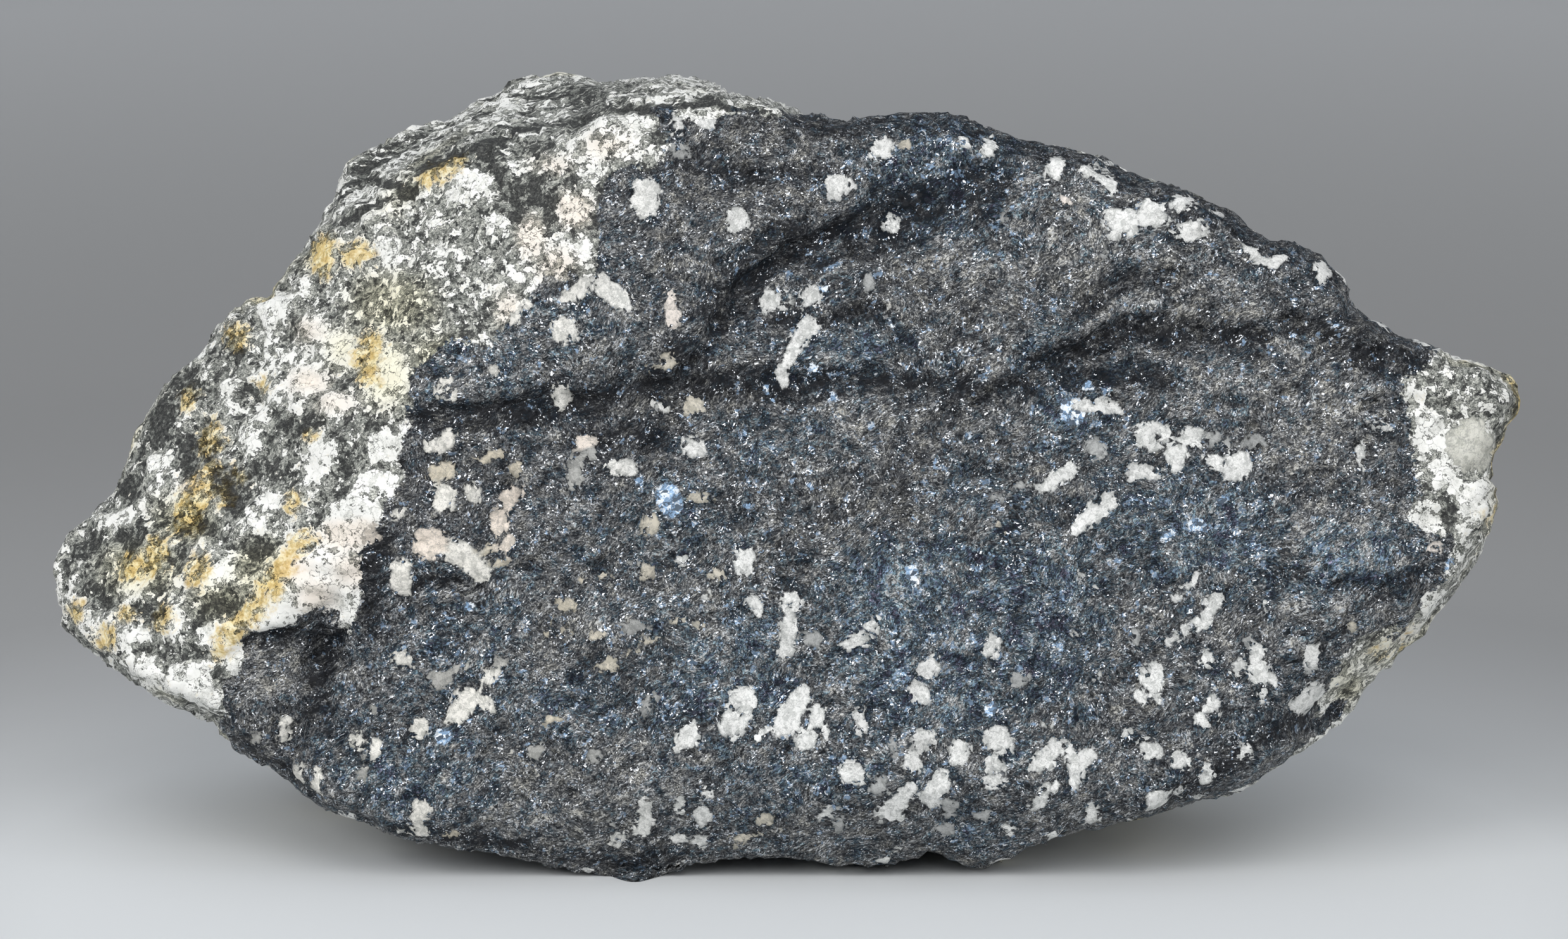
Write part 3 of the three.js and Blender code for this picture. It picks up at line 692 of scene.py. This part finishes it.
CREAM_GRAINS = [
    (697, 747, 44, 28), (811, 741, 22, 26), (777, 720, 38, 14, 15), (795, 886, 20, 10),
    (770, 868, 20, 22), (1104, 786, 40, 18), (1024, 830, 22, 36), (1023, 903, 24, 26),
    (894, 957, 34, 24), (896, 1000, 26, 13), (868, 1000, 18, 14), (942, 1000, 24, 13),
    (1067, 985, 16, 12), (1105, 993, 20, 12), (962, 1050, 34, 16), (942, 911, 36, 9),
    (1134, 904, 30, 22, -40), (1026, 903, 22, 24), (1105, 427, 22, 18), (1175, 1336, 42, 18, 15),
    (1208, 1306, 28, 26), (707, 1325, 16, 12), (1050, 574, 42, 20, 15), (1097, 645, 36, 28),
    (1580, 830, 14, 16), (1427, 234, 18, 18), (880, 1143, 36, 10, 15), (2141, 986, 16, 16),
    (1030, 1012, 26, 9), (1000, 1030, 20, 8),
]
GREY_GRAINS = [
    (1076, 240, 28, 18), (1370, 447, 22, 28), (1586, 343, 20, 20), (1744, 406, 18, 12),
    (1730, 710, 28, 30), (1918, 695, 16, 22), (1940, 701, 12, 20), (1979, 701, 38, 22, 15),
    (1608, 768, 18, 15), (1580, 785, 16, 12), (1796, 1004, 15, 24), (1968, 1005, 15, 26),
    (1609, 1071, 42, 22, 40), (1280, 1008, 40, 30), (1004, 887, 20, 22), (1031, 1105, 50, 16, 50),
    (1408, 1182, 16, 36), (1327, 1310, 22, 32), (1389, 1242, 22, 28), (1500, 1284, 32, 30),
    (1493, 1320, 26, 22), (705, 1070, 54, 30, 30), (793, 1043, 18, 20), (589, 1118, 18, 26),
    (399, 1167, 24, 24), (573, 1223, 16, 34), (846, 1184, 34, 26), (936, 1191, 26, 20),
    (961, 1308, 15, 14), (1000, 993, 56, 20), (1795, 1003, 14, 20), (910, 745, 26, 50),
    (935, 715, 22, 24), (1550, 1300, 30, 20), (2255, 606, 34, 22), (1150, 600, 26, 14),
]
SPOTS_IN_GRAINS = [      # dark rock that shows through
    (708, 618, 12, 14), (1842, 313, 18, 26), (695, 684, 18, 14), (935, 240, 36, 9, 20),
    (1830, 690, 8, 7), (1238, 476, 10, 8), (1248, 960, 8, 8), (1165, 1120, 7, 10),
]
GRAIN_TONES = (          # white, pink, cream and grey, in the order of the lists above
    (0.91, 0.905, 0.875), (0.90, 0.82, 0.75), (0.68, 0.63, 0.53), (0.46, 0.465, 0.455),
)
TONE_MIDDLE, TONE_SWING = 0.90, 0.13    # how light each grain is beside its kind
GRAIN_STAIN = np.array((0.0, 0.03, 0.08))      # the red, green and blue lost by a stained grain
STAIN_START, STAIN_FULL = 1150, 750     # x on the sheet where the stain sets in, and is full
SMOOTH_FACE, SMOOTH_TONE = (2323, 706, 76, 86), (0.66, 0.65, 0.58)
GRAIN_WOBBLE = 11.0      # how far the outlines of the grains stray, in sheet units
HOST_OVER_GRAINS = 1.5   # how deep grains sink into the host rock, in mm
HIDDEN_HEIGHT, HIDDEN_LEVEL = 1.4, 0.52      # of the field whose peaks are the unseen grains

stray = np.column_stack((rough_field(on_face, spacing=1.3, seed=91, octaves=2),
                         rough_field(on_face, spacing=1.3, seed=95, octaves=2)))
strayed = sheet + GRAIN_WOBBLE * stray
grain_depths = [
    np.maximum(depth_in_ovals(strayed, WHITE_GRAINS), depth_in_bars(strayed, WHITE_BARS)),
    depth_in_ovals(strayed, PINK_GRAINS),
    depth_in_ovals(strayed, CREAM_GRAINS),
    depth_in_ovals(strayed, GREY_GRAINS),
]
spots = depth_in_ovals(strayed, SPOTS_IN_GRAINS)
grain = np.minimum(np.maximum.reduce(grain_depths), -spots) / SHEET_SCALE
grain_colour = np.array(GRAIN_TONES)[np.argmax(grain_depths, axis=0)]
grain_colour *= (TONE_MIDDLE + TONE_SWING * random_field(on_face, spacing=2.0, seed=75))[:, None]
grain_colour *= 1 - ease(sheet[:, 0], STAIN_START, STAIN_FULL)[:, None] * GRAIN_STAIN

# those that lie in the host rock are knots of it
in_grain = ease(np.maximum.reduce(grain_depths[:3]) / SHEET_SCALE, -0.35, 0.35) * seen
stone_layers["mottle"] = drawn_over(stone_layers["mottle"], in_grain, tone=1.5, cover=0.75)
for stain, grain_place in (("pink", grain_depths[1]), ("yellow", grain_depths[2])):
    stained = ease(grain_place / SHEET_SCALE, -0.4, 0.4) * seen
    stone_layers[stain] = np.maximum(stone_layers[stain], stained)
sunk = HOST_OVER_GRAINS * ease(host, -0.1, 0.8)
grain -= sunk

# one smooth grey face of the host rock, at the right end
smooth = depth_in_ovals(strayed, [SMOOTH_FACE]) / SHEET_SCALE * seen - (1 - seen)
grain_colour[smooth > grain] = SMOOTH_TONE
grain = np.maximum(grain, smooth)

# where the eye can't see, grains lie at random in the ore
hidden_grain = HIDDEN_HEIGHT * (random_field(on_face, spacing=1.9, seed=71) - HIDDEN_LEVEL)
grain = np.where(seen > 0.5, grain, hidden_grain - sunk)
grain_colour[seen < 0.5] = GRAIN_TONES[0]
stone_layers["grain"] = grain
stone_layers["grain_colour"] = grain_colour

# ---- The stone's broken surface --------------------------------------------------------------
# The stone was broken off and never worked: the ore split in thin steps along its sheets, and
# the host rock crumbled in coarse grains. Low ledges cross the face, and each stands up on the
# left of its path.

TERRACE = 0.45               # height of one thin step, in mm
SHEET_SWELL = 1.3            # how far the sheets that it steps over swell, in mm
LEDGES = [                   # path on the sheet, and height in mm
    ([(560, 690), (656, 655), (760, 640), (867, 625), (1000, 602), (1120, 600), (1290, 640)], 0.8),
    ([(1028, 640), (1080, 570), (1127, 500), (1164, 440), (1238, 392), (1337, 352), (1440, 300)],
     1.5),
    ([(1500, 640), (1590, 600), (1700, 545), (1760, 500), (1850, 490), (1990, 520)], 1.2),
    ([(1180, 590), (1350, 585), (1500, 575)], 0.7),
    ([(1050, 690), (1250, 660), (1400, 640)], 0.5),
    ([(1250, 455), (1380, 405), (1500, 390)], 0.7),
    ([(2000, 930), (2110, 950), (2220, 930)], -0.6),
    ([(330, 1050), (390, 1000), (470, 990), (560, 1010)], 1.0),
    ([(650, 262), (746, 230), (842, 203), (938, 178), (1020, 170)], -0.9),
]
LEDGE_CREST, LEDGE_FOOT = 6.0, 34.0      # how sharp and how wide a ledge is, in sheet units
LEDGE_END = 0.2              # share of a ledge over which each end dies out

# heights of the rest of the relief, in mm
SWELL, LUMP, NUB = 0.28, 0.17, 0.12
PIT, GROOVE = 0.40, 0.35
ORE_RIDGE, HOST_KNOT, HOST_CRUMB, GRAIN_STAND = 0.16, 0.16, 0.12, 0.08

# the face draws in to its lower edge: where it starts in front, by how much for each
# millimetre of height, and up to what height, in mm
TUCK_FRONT, TUCK_SLOPE, TUCK_TOP = -20.5, 0.6, 12.0


def ledge_lift(places, path):
    """Above 0 on the high side of a ledge's crest, below 0 under it, fading away from both."""
    nearest = np.full(len(places), np.inf)
    side_of = np.zeros(len(places))
    along_of = np.zeros(len(places))
    corners = np.array(path, float)
    for index, (start, end) in enumerate(zip(corners, corners[1:])):
        side = end - start
        share = np.clip(((places - start) @ side) / (side @ side), 0, 1)
        gap = np.linalg.norm(places - start - share[:, None] * side, axis=1)
        turn = side[0] * (places[:, 1] - start[1]) - side[1] * (places[:, 0] - start[0])
        closer = gap < nearest
        nearest = np.where(closer, gap, nearest)
        side_of = np.where(closer, -np.sign(turn), side_of)
        along_of = np.where(closer, (index + share) / (len(corners) - 1), along_of)
    distance = side_of * nearest
    ends = ease(along_of, 0.0, LEDGE_END) * ease(1 - along_of, 0.0, LEDGE_END)
    return ends * (np.tanh(distance / LEDGE_CREST) - np.tanh(distance / LEDGE_FOOT))


# the sheets' steps, then the lumps on them, then what each mineral adds
in_host = ease(host, -0.3, 0.3)
is_pale = ease(grain, -0.1, 0.25)
along_flow = on_face @ turned_to_flow * (0.38, 1.0, FLATTEN)
lift = SHEET_SWELL * rough_field(along_flow, spacing=4.2, seed=81, octaves=2)
level = np.floor(lift / TERRACE)
rise = TERRACE * (level + ease(lift / TERRACE - level, 0.3, 0.7)) - lift
rise += SWELL * rough_field(on_face, spacing=3.6, seed=11, fade=0.6)
rise += LUMP * random_field(on_face * (1, 1, 1.5), spacing=1.3, seed=31)
rise += NUB * random_field(on_face, spacing=0.7, seed=32)
rise -= PIT * ease(random_field(on_face, spacing=1.8, seed=35), 0.42, 0.62)
ridges = 1 - 2 * np.abs(random_field(along_flow, spacing=1.0, seed=34))
rise += (1 - in_host) * ORE_RIDGE * ridges * (1 - is_pale)
rise += in_host * HOST_KNOT * np.tanh(mottle * 1.5)
rise += in_host * HOST_CRUMB * random_field(sheets, spacing=1.3, seed=33)
rise += GRAIN_STAND * is_pale
rise -= GROOVE * in_seam * (1 - in_host)
ledge_sheet = bent_sheet(stray=14, spacing=2.2, seed=101)
for path, height in LEDGES:
    rise += height / 2 * ledge_lift(ledge_sheet, path) * seen
# painted shade: the ore's colour is darkened in the hollows of this relief
stone_layers["hollow_shade"] = np.clip(0.5 - rise * 1.1, 0, 1)

# the finish reads these layers from the mesh's corners
for name, values in stone_layers.items():
    kind = "FLOAT_COLOR" if values.ndim == 2 else "FLOAT"
    layer = fine_mesh.attributes.new(name, kind, "POINT")
    if values.ndim == 2:
        layer.data.foreach_set("color", np.column_stack((values, np.ones(len(values)))).ravel())
    else:
        layer.data.foreach_set("value", values.astype(np.float32))

# the relief moves the corners, but not past the solid's box and not on the flat spot
moved = points + normals * (rise * MM)[:, None]
tucked = np.maximum(moved[:, 1], (TUCK_FRONT - TUCK_SLOPE * moved[:, 2] / MM) * MM)
moved[:, 1] = np.where(moved[:, 2] < TUCK_TOP * MM, tucked, moved[:, 1])
moved = np.clip(moved, box_low, box_high)
resting = points[:, 2] < FLAT_SPOT
moved[resting] = points[resting]
fine_mesh.vertices.foreach_set("co", moved.ravel())
fine_mesh.polygons.foreach_set("use_smooth", np.ones(len(fine_mesh.polygons), bool))
fine_mesh.update()

# ---- The stone's finish ----------------------------------------------------------------------
# Nothing is cut, coated or polished: what shows is the bare broken mineral. The ore is fine dark
# grit with a weak blue to brown tarnish, the host rock has white knots and black flakes in a
# granular ground, and the grains are cleaved white spar.

stone_finish, tree, surface = new_finish("tarnished ore on host rock")
fine_mesh.materials.append(stone_finish)
HALF_WAY = (0.5, 0.5, 0.5)


def layer_value(name, output="Fac"):
    """A layer that is kept on the mesh's corners."""
    return add_node(tree, "ShaderNodeAttribute", attribute_name=name).outputs[output]


def maths(operation, *values):
    return add_node(tree, "ShaderNodeMath", *values, operation=operation).outputs[0]


def plus(*values):
    total = values[0]
    for value in values[1:]:
        total = maths("ADD", total, value)
    return total


def times(first, second):
    return maths("MULTIPLY", first, second)


def rest_of(share):
    """What a share leaves over."""
    return maths("SUBTRACT", 1.0, share)


def swing(value, height):
    """A noise value swung about nothing instead of about a half."""
    return times(maths("SUBTRACT", value, 0.5), height)


def vectors(operation, *values):
    return add_node(tree, "ShaderNodeVectorMath", *values, operation=operation).outputs["Vector"]


def lean(colour, amount):
    """A random colour as a lean of the surface, or as a small move of a place."""
    return vectors("SCALE", vectors("SUBTRACT", colour, HALF_WAY), None, None, amount)


def rising(value, low, high):
    """0 below low, 1 above high, smooth between."""
    return add_node(tree, "ShaderNodeMapRange", value, low, high,
                    interpolation_type="SMOOTHSTEP").outputs["Result"]


def mixed(share, first, second, blend="MIX"):
    """Two colours mixed by a share, or by one of the other ways of blending."""
    node = add_node(tree, "ShaderNodeMix", data_type="RGBA", blend_type=blend)
    for index, value in ((0, share), (6, first), (7, second)):
        if isinstance(value, bpy.types.NodeSocket):
            link(tree, value, node.inputs[index])
        else:
            node.inputs[index].default_value = (*value, 1) if isinstance(value, tuple) else value
    return node.outputs[2]


def tinted(colour, tint, share=1.0):
    """A colour with a tint laid over it like a glaze."""
    return mixed(share, colour, tint, "MULTIPLY")


def noise(place, scale, detail, roughness, distortion=0.0):
    """A noise of so many lumps to the millimetre: its value and its colour."""
    node = add_node(tree, "ShaderNodeTexNoise", place, None, scale, detail, roughness,
                    None, None, None, distortion)
    return node.outputs["Fac"], node.outputs["Color"]


def crystals(place, scale):
    """Cells, each of one random colour: that colour, and its three parts as random values."""
    colour = add_node(tree, "ShaderNodeTexVoronoi", place, None, scale).outputs["Color"]
    return colour, add_node(tree, "ShaderNodeSeparateColor", colour).outputs


def off_lines(value, low, high):
    """0 on the thin lines where a noise passes through a half, and 1 beside them."""
    return rising(maths("ABSOLUTE", maths("SUBTRACT", value, 0.5)), low, high)


stone_place = add_node(tree, "ShaderNodeTexCoord").outputs["Object"]
in_mm = add_node(tree, "ShaderNodeMapping", stone_place, None, (-LEAN, 0, 0),
                 (1 / MM,) * 3).outputs[0]

# the ore's sheets wind a little as they run up to the right, and what lies in them is stretched
WINDING = 4.0        # how far they wind, in mm
_, winding = noise(in_mm, scale=0.14, detail=2, roughness=0.5)
wound = vectors("ADD", in_mm, lean(winding, WINDING))
in_flow = add_node(tree, "ShaderNodeMapping", wound, None, (0, FLOW, 0)).outputs[0]
in_streaks = vectors("MULTIPLY", in_flow, (0.22, 1.2, 1))
in_flakes = vectors("MULTIPLY", in_flow, (0.72, 1.0, 1.05))
in_grit = vectors("MULTIPLY", in_flow, (0.85, 1.0, 1.0))
in_fibres = vectors("MULTIPLY", in_flow, (1.0, 1.0, 0.3))

# ore: fine grit in which each grain has its own tone, lean and lustre
ORE_TONES = [
    (0.00, (0.012, 0.013, 0.016)), (0.15, (0.024, 0.026, 0.031)), (0.36, (0.055, 0.059, 0.066)),
    (0.52, (0.105, 0.110, 0.118)), (0.70, (0.18, 0.185, 0.192)), (0.90, (0.42, 0.43, 0.44)),
    (1.0, (0.60, 0.61, 0.62)),
]
TARNISH_TINTS = [
    (0.16, (0.84, 0.76, 1.0)), (0.26, (0.52, 0.72, 1.0)), (0.34, (0.58, 0.86, 1.0)),
    (0.41, (0.84, 0.98, 1.0)), (0.47, (1.0, 1.0, 1.0)), (0.60, (1.0, 0.98, 0.93)),
    (0.76, (1.0, 0.95, 0.84)),
]
GLINT_HIGHLIGHT_TONES = [
    (0.28, (0.10, 0.13, 0.17)), (0.36, (0.24, 0.36, 0.52)), (0.62, (0.42, 0.60, 0.84)),
    (0.74, (0.86, 0.92, 0.98)),
]
# blue tarnish flakes and sparks, both lightened in colour as painted highlights
BLUE_FLAKE_GLINT, SPARK_HIGHLIGHT = (0.28, 0.40, 0.56), (0.75, 0.77, 0.80)
ORE_MIDDLE = 0.552       # the place of the plain ore among its tones
STIR = 0.4               # how far the edges of its grains stray, in mm

_, stir = noise(in_mm, scale=2.6, detail=1, roughness=0.5)
stirred = vectors("ADD", in_flakes, lean(stir, STIR))
cell_colour, cell = crystals(stirred, scale=3.3)
_, speck = crystals(stirred, scale=11.0)
grit, grit_colour = noise(in_grit, scale=3.6, detail=5, roughness=0.9)
blot, blot_colour = noise(in_mm, scale=1.3, detail=5, roughness=0.72)
patch, _ = noise(in_mm, scale=0.7, detail=3, roughness=0.62)
streak, _ = noise(in_streaks, scale=1.2, detail=5, roughness=0.70)
seam, _ = noise(in_streaks, scale=2.2, detail=2, roughness=0.6)
off_seams = off_lines(seam, 0.0, 0.035)

_, chip = crystals(vectors("ADD", in_mm, lean(stir, STIR)), scale=2.3)
fibre, _ = noise(in_fibres, scale=2.4, detail=5, roughness=0.7)
grain_depth = plus(layer_value("grain"), swing(blot, 0.6), swing(grit, 0.2), swing(chip[2], 0.42))

# each noise and layer goes into the ore's tone with its own weight
smear = maths("MAXIMUM", plus(1.0, swing(blot, 3.0), swing(patch, 1.6)), 0.0)
# the dark layer: the seams, darkened in part as painted shade under their ledges, and the ore's
# upward faces
dark = times(layer_value("dark"), smear)
# painted shade: the ore is darker in a ring round each grain and in the hollows of its relief
ore_shade = plus(ORE_MIDDLE, swing(grit, 1.45), swing(cell[0], 0.30), swing(speck[0], 0.74),
                 swing(patch, 0.9), times(swing(streak, 1.3), plus(0.55, times(dark, 1.4))),
                 times(maths("SUBTRACT", off_seams, 1.0), plus(0.10, times(dark, 0.35))),
                 times(layer_value("hollow_shade"), -0.25), times(dark, -0.30),
                 times(layer_value("pale"), 0.14), times(rising(grain_depth, -0.5, 0.0), -0.12))
tarnish = plus(patch, 0.035, times(layer_value("brown"), 0.08),
               times(layer_value("blue"), -0.17), swing(cell[1], 0.17), swing(speck[1], 0.20))
ore_colour = tinted(add_ramp(tree, ore_shade, ORE_TONES), add_ramp(tree, tarnish, TARNISH_TINTS))

# painted highlights: blue flakes painted light blue as glints and white sparks painted bright; both
# are also metallic
flake, _ = noise(in_mm, scale=1.1, detail=3, roughness=0.7)
flake_glint_share = times(rising(plus(flake, times(layer_value("blue"), 0.05)), 0.60, 0.68),
                    rising(cell[1], 0.45, 0.60))
ore_colour = mixed(times(flake_glint_share, 0.7), ore_colour, BLUE_FLAKE_GLINT)
spark_highlight = rising(plus(speck[2], swing(flake, 0.8), times(dark, -0.03)), 0.958, 0.975)
ore_colour = mixed(spark_highlight, ore_colour, SPARK_HIGHLIGHT)
# painted highlight: the glinting grains are painted bright white and blue in the ore's colour
is_glint_highlight = rising(plus(layer_value("glint_highlight"), swing(grit, 0.9)), -0.02, 0.03)
glint_highlight_shade = plus(cell[1], swing(speck[1], 0.3))
ore_colour = mixed(is_glint_highlight, ore_colour, add_ramp(tree, glint_highlight_shade, GLINT_HIGHLIGHT_TONES, "CONSTANT"))

# host rock: a granular grey-green ground with black flakes and white knots, each knot in a
# thin dark line
GROUND_TONES = [
    (0.05, (0.045, 0.047, 0.045)), (0.25, (0.12, 0.126, 0.114)), (0.50, (0.30, 0.308, 0.280)),
    (0.70, (0.56, 0.56, 0.505)), (0.90, (0.80, 0.79, 0.72)),
]
KNOT_TONES = [
    (0.05, (0.46, 0.463, 0.43)), (0.28, (0.76, 0.757, 0.71)), (0.48, (0.90, 0.893, 0.85)),
]
RUST_TINTS = [
    (0.15, (0.58, 0.40, 0.13)), (0.50, (0.82, 0.64, 0.30)), (0.85, (0.98, 0.90, 0.66)),
]
BLACK_TONES = ((0.028, 0.029, 0.029), (0.13, 0.132, 0.122))
CRACK_TONE, KNOT_LINE = (0.05, 0.052, 0.05), (0.055, 0.057, 0.053)
BLOCK_LINE = (0.12, 0.123, 0.115)
YELLOW_TINT, PINK_TINT = (1.0, 0.96, 0.80), (1.0, 0.92, 0.86)
BAND_TURN = math.radians(-18)        # the fine streaks at the top run down to the right
BAND_STRETCH = (0.35, 2.2, 2.2)
BLOCK_SCALE = 1.15                   # blocks to the millimetre that the knots break into

host_noise, _ = noise(in_mm, scale=1.25, detail=4, roughness=0.62, distortion=0.25)
flake_noise, _ = noise(in_mm, scale=1.5, detail=4, roughness=0.62, distortion=0.25)
crack, _ = noise(in_mm, scale=1.5, detail=4, roughness=0.6, distortion=0.5)
ground = plus(0.5, swing(grit, 1.6), swing(speck[0], 0.4), swing(cell[2], 0.3), swing(blot, 1.0),
              times(layer_value("mottle"), 0.07))
host_colour = add_ramp(tree, ground, GROUND_TONES)

in_bands = add_node(tree, "ShaderNodeMapping", in_mm, None, (0, BAND_TURN, 0),
                    BAND_STRETCH).outputs[0]
band, _ = noise(in_bands, scale=0.75, detail=3, roughness=0.6)
banding = times(layer_value("banded"), swing(band, 1.5))
knot = plus(times(layer_value("mottle"), 0.10), swing(host_noise, 1.35), banding,
            swing(grit, 0.12), swing(cell[2], 0.10))
flaky = plus(times(layer_value("mottle"), -0.08), swing(flake_noise, 1.2), times(banding, -1.2),
             swing(grit, 0.2), swing(cell[1], 0.12))
black = mixed(rising(grit, 0.45, 0.62), *BLACK_TONES)
host_colour = mixed(rising(flaky, 0.068, 0.085), host_colour, black)
off_cracks = off_lines(crack, 0.006, 0.018)
host_colour = mixed(maths("SUBTRACT", 0.8, times(off_cracks, 0.8)), host_colour, CRACK_TONE)
host_colour = mixed(rising(knot, 0.025, 0.040), host_colour, KNOT_LINE)

in_blocks = vectors("ADD", vectors("ADD", in_mm, lean(stir, 0.5)), lean(blot_colour, 0.7))
_, block = crystals(in_blocks, scale=BLOCK_SCALE)
block_edge = add_node(tree, "ShaderNodeTexVoronoi", in_blocks, None, BLOCK_SCALE,
                      feature="DISTANCE_TO_EDGE").outputs["Distance"]
block_gap = rest_of(rising(block_edge, 0.012, 0.045))
knot_shade = plus(0.5, swing(fibre, 1.4), swing(speck[0], 0.3), swing(block[0], 0.45))
knot_colour = mixed(times(block_gap, rising(block[1], 0.40, 0.7)),
                    add_ramp(tree, knot_shade, KNOT_TONES), BLOCK_LINE)
host_colour = mixed(rising(knot, 0.067, 0.079), host_colour, knot_colour)

host_colour = tinted(host_colour, YELLOW_TINT, layer_value("yellow"))
ochre_share = rising(plus(layer_value("ochre"), swing(host_noise, 2.2)), 0.25, 0.95)
rust = add_ramp(tree, plus(0.5, swing(blot, 2.4), swing(fibre, 1.6)), RUST_TINTS)
host_colour = tinted(host_colour, rust, times(ochre_share, 0.92))
host_colour = tinted(host_colour, PINK_TINT, layer_value("pink"))

# white grains, with their cleavage lines and a duller rim
RIM_TONE, BARE_TONE, DULL_TINT = (0.60, 0.61, 0.61), (1.0, 1.0, 1.0), (0.66, 0.67, 0.665)
GRAIN_GAP, CLEAVAGE = (0.24, 0.24, 0.24), (0.12, 0.12, 0.12)

grain_shade = mixed(rising(grain_depth, 0.0, 0.25), RIM_TONE, BARE_TONE)
dulled = plus(swing(fibre, 1.2), swing(speck[0], 0.35), swing(chip[1], 0.5), 0.25)
grain_shade = mixed(rising(dulled, -0.05, 0.4), tinted(grain_shade, DULL_TINT), grain_shade)
grain_shown = tinted(layer_value("grain_colour", "Color"), grain_shade)
grain_crack, _ = noise(in_mm, scale=1.6, detail=3, roughness=0.6, distortion=0.8)
grain_shown = mixed(times(block_gap, 0.35), grain_shown, GRAIN_GAP)
off_cleavage = off_lines(grain_crack, 0.003, 0.010)
grain_shown = mixed(times(rest_of(off_cleavage), 0.55), grain_shown, CLEAVAGE)

# all three meet along ragged edges
ragged = plus(swing(blot, 3.0), swing(grit, 0.7))
is_host = rising(plus(layer_value("host"), ragged, times(layer_value("mottle"), 0.20)), -0.05, 0.05)
is_grain = rising(grain_depth, -0.04, 0.06)
is_ore = times(rest_of(is_host), rest_of(is_grain))
rock_colour = mixed(is_host, ore_colour, host_colour)
link(tree, mixed(is_grain, rock_colour, grain_shown), surface.inputs["Base Color"])

# the ore's flakes and sparks are metallic and smoother, and each grain of it leans its own way
FLAKE_LUSTRE, METAL_SHARE = 0.6, 0.9
ROUGHNESS, LUSTRE_SMOOTHING, SHINE = 0.60, 0.32, 0.15
CELL_LEAN, GRIT_LEAN = 0.9, 1.2
lustre = times(maths("MAXIMUM", spark_highlight, times(flake_glint_share, FLAKE_LUSTRE)), is_ore)
link(tree, times(lustre, METAL_SHARE), surface.inputs["Metallic"])
link(tree, plus(ROUGHNESS, times(lustre, -LUSTRE_SMOOTHING)), surface.inputs["Roughness"])
surface.inputs["Specular IOR Level"].default_value = SHINE
cell_lean = lean(cell_colour, times(is_ore, CELL_LEAN))
leaning = vectors("ADD", cell_lean, lean(grit_colour, GRIT_LEAN))
normal = add_node(tree, "ShaderNodeNewGeometry").outputs["Normal"]
link(tree, vectors("NORMALIZE", vectors("ADD", normal, leaning)), surface.inputs["Normal"])

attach(stone, "root")
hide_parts("peacock_ore")
